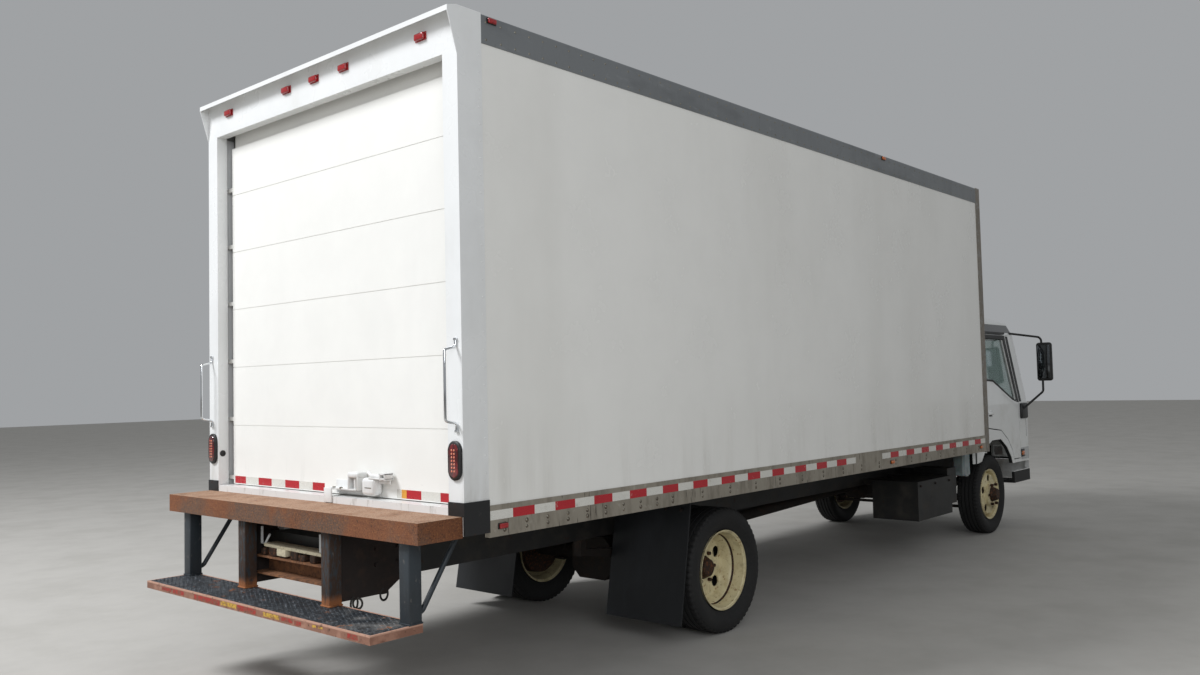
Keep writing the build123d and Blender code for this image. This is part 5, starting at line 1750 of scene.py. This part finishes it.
def seats():
    """Driver's seat and double passenger seat: padded cushions and backs in woven cloth."""
    back, floor = SHELL[0].x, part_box("seats")[0].z
    rows = (
        # name, middle, half width
        ("driver", DRIVER_Y, 0.225),
        ("passenger_outer", -0.560, 0.215),
        ("passenger_middle", -0.115, 0.205),
    )
    for name, middle, half in rows:
        y = (middle - half, middle + half)
        bm = bmesh.new()
        add_box(bm, (back + 0.15, back + 0.62), y, (floor + 0.03, floor + 0.125), 0.03, 3)
        for v in bm.verts:
            v.co.z += 0.05 * (v.co.x - back - 0.15)
        base = soften(f"{name}_base", bm)
        replaced = ["seats"] if name == "driver" else []
        piece = add_piece(
            f"{name}_cushion", base, "woven_seat_cloth", "cab", replaced
        )
        bm = bmesh.new()
        add_box(bm, (back + 0.085, back + 0.175), y, (floor + 0.11, floor + 0.72), 0.03, 3)
        for v in bm.verts:
            v.co.x -= 0.02 * (v.co.z - floor - 0.1) / 0.6
        rest = soften(f"{name}_back", bm)
        piece = add_piece(f"{name}_backrest", rest, "woven_seat_cloth", "cab")
    bm = bmesh.new()
    for middle, half in ((DRIVER_Y, 0.24), (-0.330, 0.46)):
        y = (middle - half, middle + half)
        add_box(bm, (back + 0.10, back + 0.58), y, (floor, floor + 0.045), 0.01, 2)
    add_plastic("seat_frames", bm)


def coat_frame():
    """Gives every CAD node the finish of its real material."""
    for finish, names in FINISH_NODES.items():
        for name in names.split():
            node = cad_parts[name]
            if not node.material_slots:
                node.data.materials.append(MATERIALS[finish])
            for slot in node.material_slots:
                slot.material = MATERIALS[finish]


# Stage

CAMERA_PLACE = (-7.134, -4.8075, 1.6298)
CAMERA_YAW = 41.415
CAMERA_PITCH = 2.793
CAMERA_ROLL = -1.324
CAMERA_FOCAL = 991.29 / 1200 * 36


def place_camera():
    """The camera where the photograph was taken from."""
    yaw, pitch, roll = (math.radians(v) for v in (CAMERA_YAW, CAMERA_PITCH, CAMERA_ROLL))
    ahead = Vector(
        (math.cos(pitch) * math.cos(yaw), math.cos(pitch) * math.sin(yaw), math.sin(pitch))
    )
    right = Vector((math.sin(yaw), -math.cos(yaw), 0))
    up = right.cross(ahead)
    level_right = right * math.cos(roll) + up * math.sin(roll)
    level_up = up * math.cos(roll) - right * math.sin(roll)
    data = bpy.data.cameras.new("camera")
    data.sensor_width = 36.0
    data.lens = CAMERA_FOCAL
    data.clip_end = 200
    turn = Matrix((level_right, level_up, -ahead)).transposed().to_4x4()
    camera = link("camera", data)
    camera.matrix_world = Matrix.Translation(CAMERA_PLACE) @ turn
    bpy.context.scene.camera = camera


def add_light(name, place, aim, size, power, colour):
    """A soft square light that looks at a point."""
    data = bpy.data.lights.new(name, "AREA")
    data.shape = "SQUARE"
    data.size = size
    data.energy = power
    data.color = colour
    light = link(name, data)
    light.location = place
    light.rotation_mode = "QUATERNION"
    light.rotation_quaternion = (Vector(aim) - Vector(place)).to_track_quat("-Z", "Y")


def build_stage():
    """A pale floor, an even sky of light and two soft lamps."""
    # matt pale ground with faint patches, so that shadows and dark parts read
    floor_material = surface(
        "pale_floor", "#B9B6B0", 0.85,
        mark("#A5A29B", 700, 0.4, 0.7, 0.4),
        bump(6, 0.15), spread=0.05,
    )
    bm = bmesh.new()
    bmesh.ops.create_grid(bm, x_segments=2, y_segments=2, size=60)
    mesh = to_mesh(bm, "floor", False)
    if mesh.polygons[0].normal.z < 0:
        mesh.flip_normals()
    mesh.materials.append(floor_material)
    floor = link("floor", mesh)
    world = bpy.data.worlds.new("studio")
    world.use_nodes = True
    world.node_tree.nodes.clear()
    sky = add_node(
        world.node_tree, "ShaderNodeBackground", {"Color": paint("#E2E5E8"), "Strength": 0.46}
    )
    add_node(world.node_tree, "ShaderNodeOutputWorld", {0: sky.outputs[0]})
    bpy.context.scene.world = world
    add_light("key", (-13, 6, 13), (-2, 0, 1.5), 5.0, 2750, linear("#F9FBFF"))
    add_light("fill", (-10, -10, 5.5), (-2.5, 0, 1.5), 6.0, 430, linear("#F4F7FC"))
    place_camera()
    bpy.context.scene.view_settings.view_transform = "Standard"


# Operators, one for each piece or group of like pieces


class TRUCK_OT_stage(bpy.types.Operator):
    """Floor, lights and the photograph's camera"""

    bl_idname = "truck.stage"
    bl_label = "Stage"

    def execute(self, context):
        build_stage()
        return {"FINISHED"}


class TRUCK_OT_finishes(bpy.types.Operator):
    """Makes the materials and coats every CAD node"""

    bl_idname = "truck.finishes"
    bl_label = "Finishes"

    def execute(self, context):
        colours = context.scene.truck_colours
        body_materials(colours)
        steel_materials(colours)
        moulded_materials(colours)
        coat_frame()
        return {"FINISHED"}


class TRUCK_OT_tape(bpy.types.Operator):
    """Reflective tape on rails, door and step rim"""

    bl_idname = "truck.tape"
    bl_label = "Tape"

    def execute(self, context):
        side_tape()
        door_tape()
        step_rim_paint()
        return {"FINISHED"}


class TRUCK_OT_rivets(bpy.types.Operator):
    """Rivets and bolts, the drawbar's fittings and the step's frame"""

    bl_idname = "truck.rivets"
    bl_label = "Rivets, drawbar and step frame"

    def execute(self, context):
        rail_rivets()
        underbody_details()
        drawbar_details()
        step_frame()
        return {"FINISHED"}


class TRUCK_OT_step_grip(bpy.types.Operator):
    """Grip plate of the lower step"""

    bl_idname = "truck.step_grip"
    bl_label = "Step grip"

    def execute(self, context):
        step_grip()
        return {"FINISHED"}


class TRUCK_OT_lamps(bpy.types.Operator):
    """Tail lamps and clearance lamps"""

    bl_idname = "truck.lamps"
    bl_label = "Lamps"

    def execute(self, context):
        lamp_bodies()
        return {"FINISHED"}


class TRUCK_OT_rear_fittings(bpy.types.Operator):
    """Grab handles and the door's latch"""

    bl_idname = "truck.rear_fittings"
    bl_label = "Rear fittings"

    def execute(self, context):
        grab_handles()
        door_latch()
        return {"FINISHED"}


class TRUCK_OT_wheels(bpy.types.Operator):
    """Tyres, wheels, hubs and nuts"""

    bl_idname = "truck.wheels"
    bl_label = "Wheels"

    def execute(self, context):
        wheels_and_tyres()
        return {"FINISHED"}


class TRUCK_OT_cab_outside(bpy.types.Operator):
    """Window rubbers, handles, mirrors, wipers, trim and visor of the cab"""

    bl_idname = "truck.cab_outside"
    bl_label = "Cab outside"

    def execute(self, context):
        window_rubbers()
        door_handles()
        mirrors()
        wipers()
        cab_trim()
        sun_visor()
        return {"FINISHED"}


class TRUCK_OT_cab_inside(bpy.types.Operator):
    """Steering wheel and dashboard mouldings"""

    bl_idname = "truck.cab_inside"
    bl_label = "Cab inside"

    def execute(self, context):
        steering_wheel()
        dash_details()
        return {"FINISHED"}


class TRUCK_OT_seats(bpy.types.Operator):
    """Padded seats in woven cloth"""

    bl_idname = "truck.seats"
    bl_label = "Seats"

    def execute(self, context):
        seats()
        return {"FINISHED"}


class TRUCK_OT_underbody(bpy.types.Operator):
    """Tank straps and spring clamps"""

    bl_idname = "truck.underbody"
    bl_label = "Underbody"

    def execute(self, context):
        tank_straps()
        spring_clamps()
        return {"FINISHED"}


OPERATORS = (
    TRUCK_OT_finishes,
    TRUCK_OT_tape,
    TRUCK_OT_rivets,
    TRUCK_OT_step_grip,
    TRUCK_OT_lamps,
    TRUCK_OT_rear_fittings,
    TRUCK_OT_wheels,
    TRUCK_OT_cab_outside,
    TRUCK_OT_cab_inside,
    TRUCK_OT_seats,
    TRUCK_OT_underbody,
    TRUCK_OT_stage,
)


class TRUCK_PT_panel(bpy.types.Panel):
    """Lists the truck's pieces in the sidebar"""

    bl_label = "Box truck"
    bl_idname = "TRUCK_PT_panel"
    bl_space_type = "VIEW_3D"
    bl_region_type = "UI"
    bl_category = "Truck"

    def draw(self, context):
        for operator in OPERATORS:
            self.layout.operator(operator.bl_idname)


CLASSES = (TruckSizes, TruckColours, *OPERATORS, TRUCK_PT_panel)


def register():
    """Registers the classes and hangs the settings on the scene."""
    for item in CLASSES:
        bpy.utils.register_class(item)
    bpy.types.Scene.truck_sizes = PointerProperty(type=TruckSizes)
    bpy.types.Scene.truck_colours = PointerProperty(type=TruckColours)


def unregister():
    """Takes the settings and classes away again."""
    del bpy.types.Scene.truck_sizes
    del bpy.types.Scene.truck_colours
    for item in reversed(CLASSES):
        bpy.utils.unregister_class(item)


def main():
    """Builds every piece in order."""
    register()
    for operator in OPERATORS:
        group, name = operator.bl_idname.split(".")
        getattr(getattr(bpy.ops, group), name)()


if __name__ == "__main__":
    main()
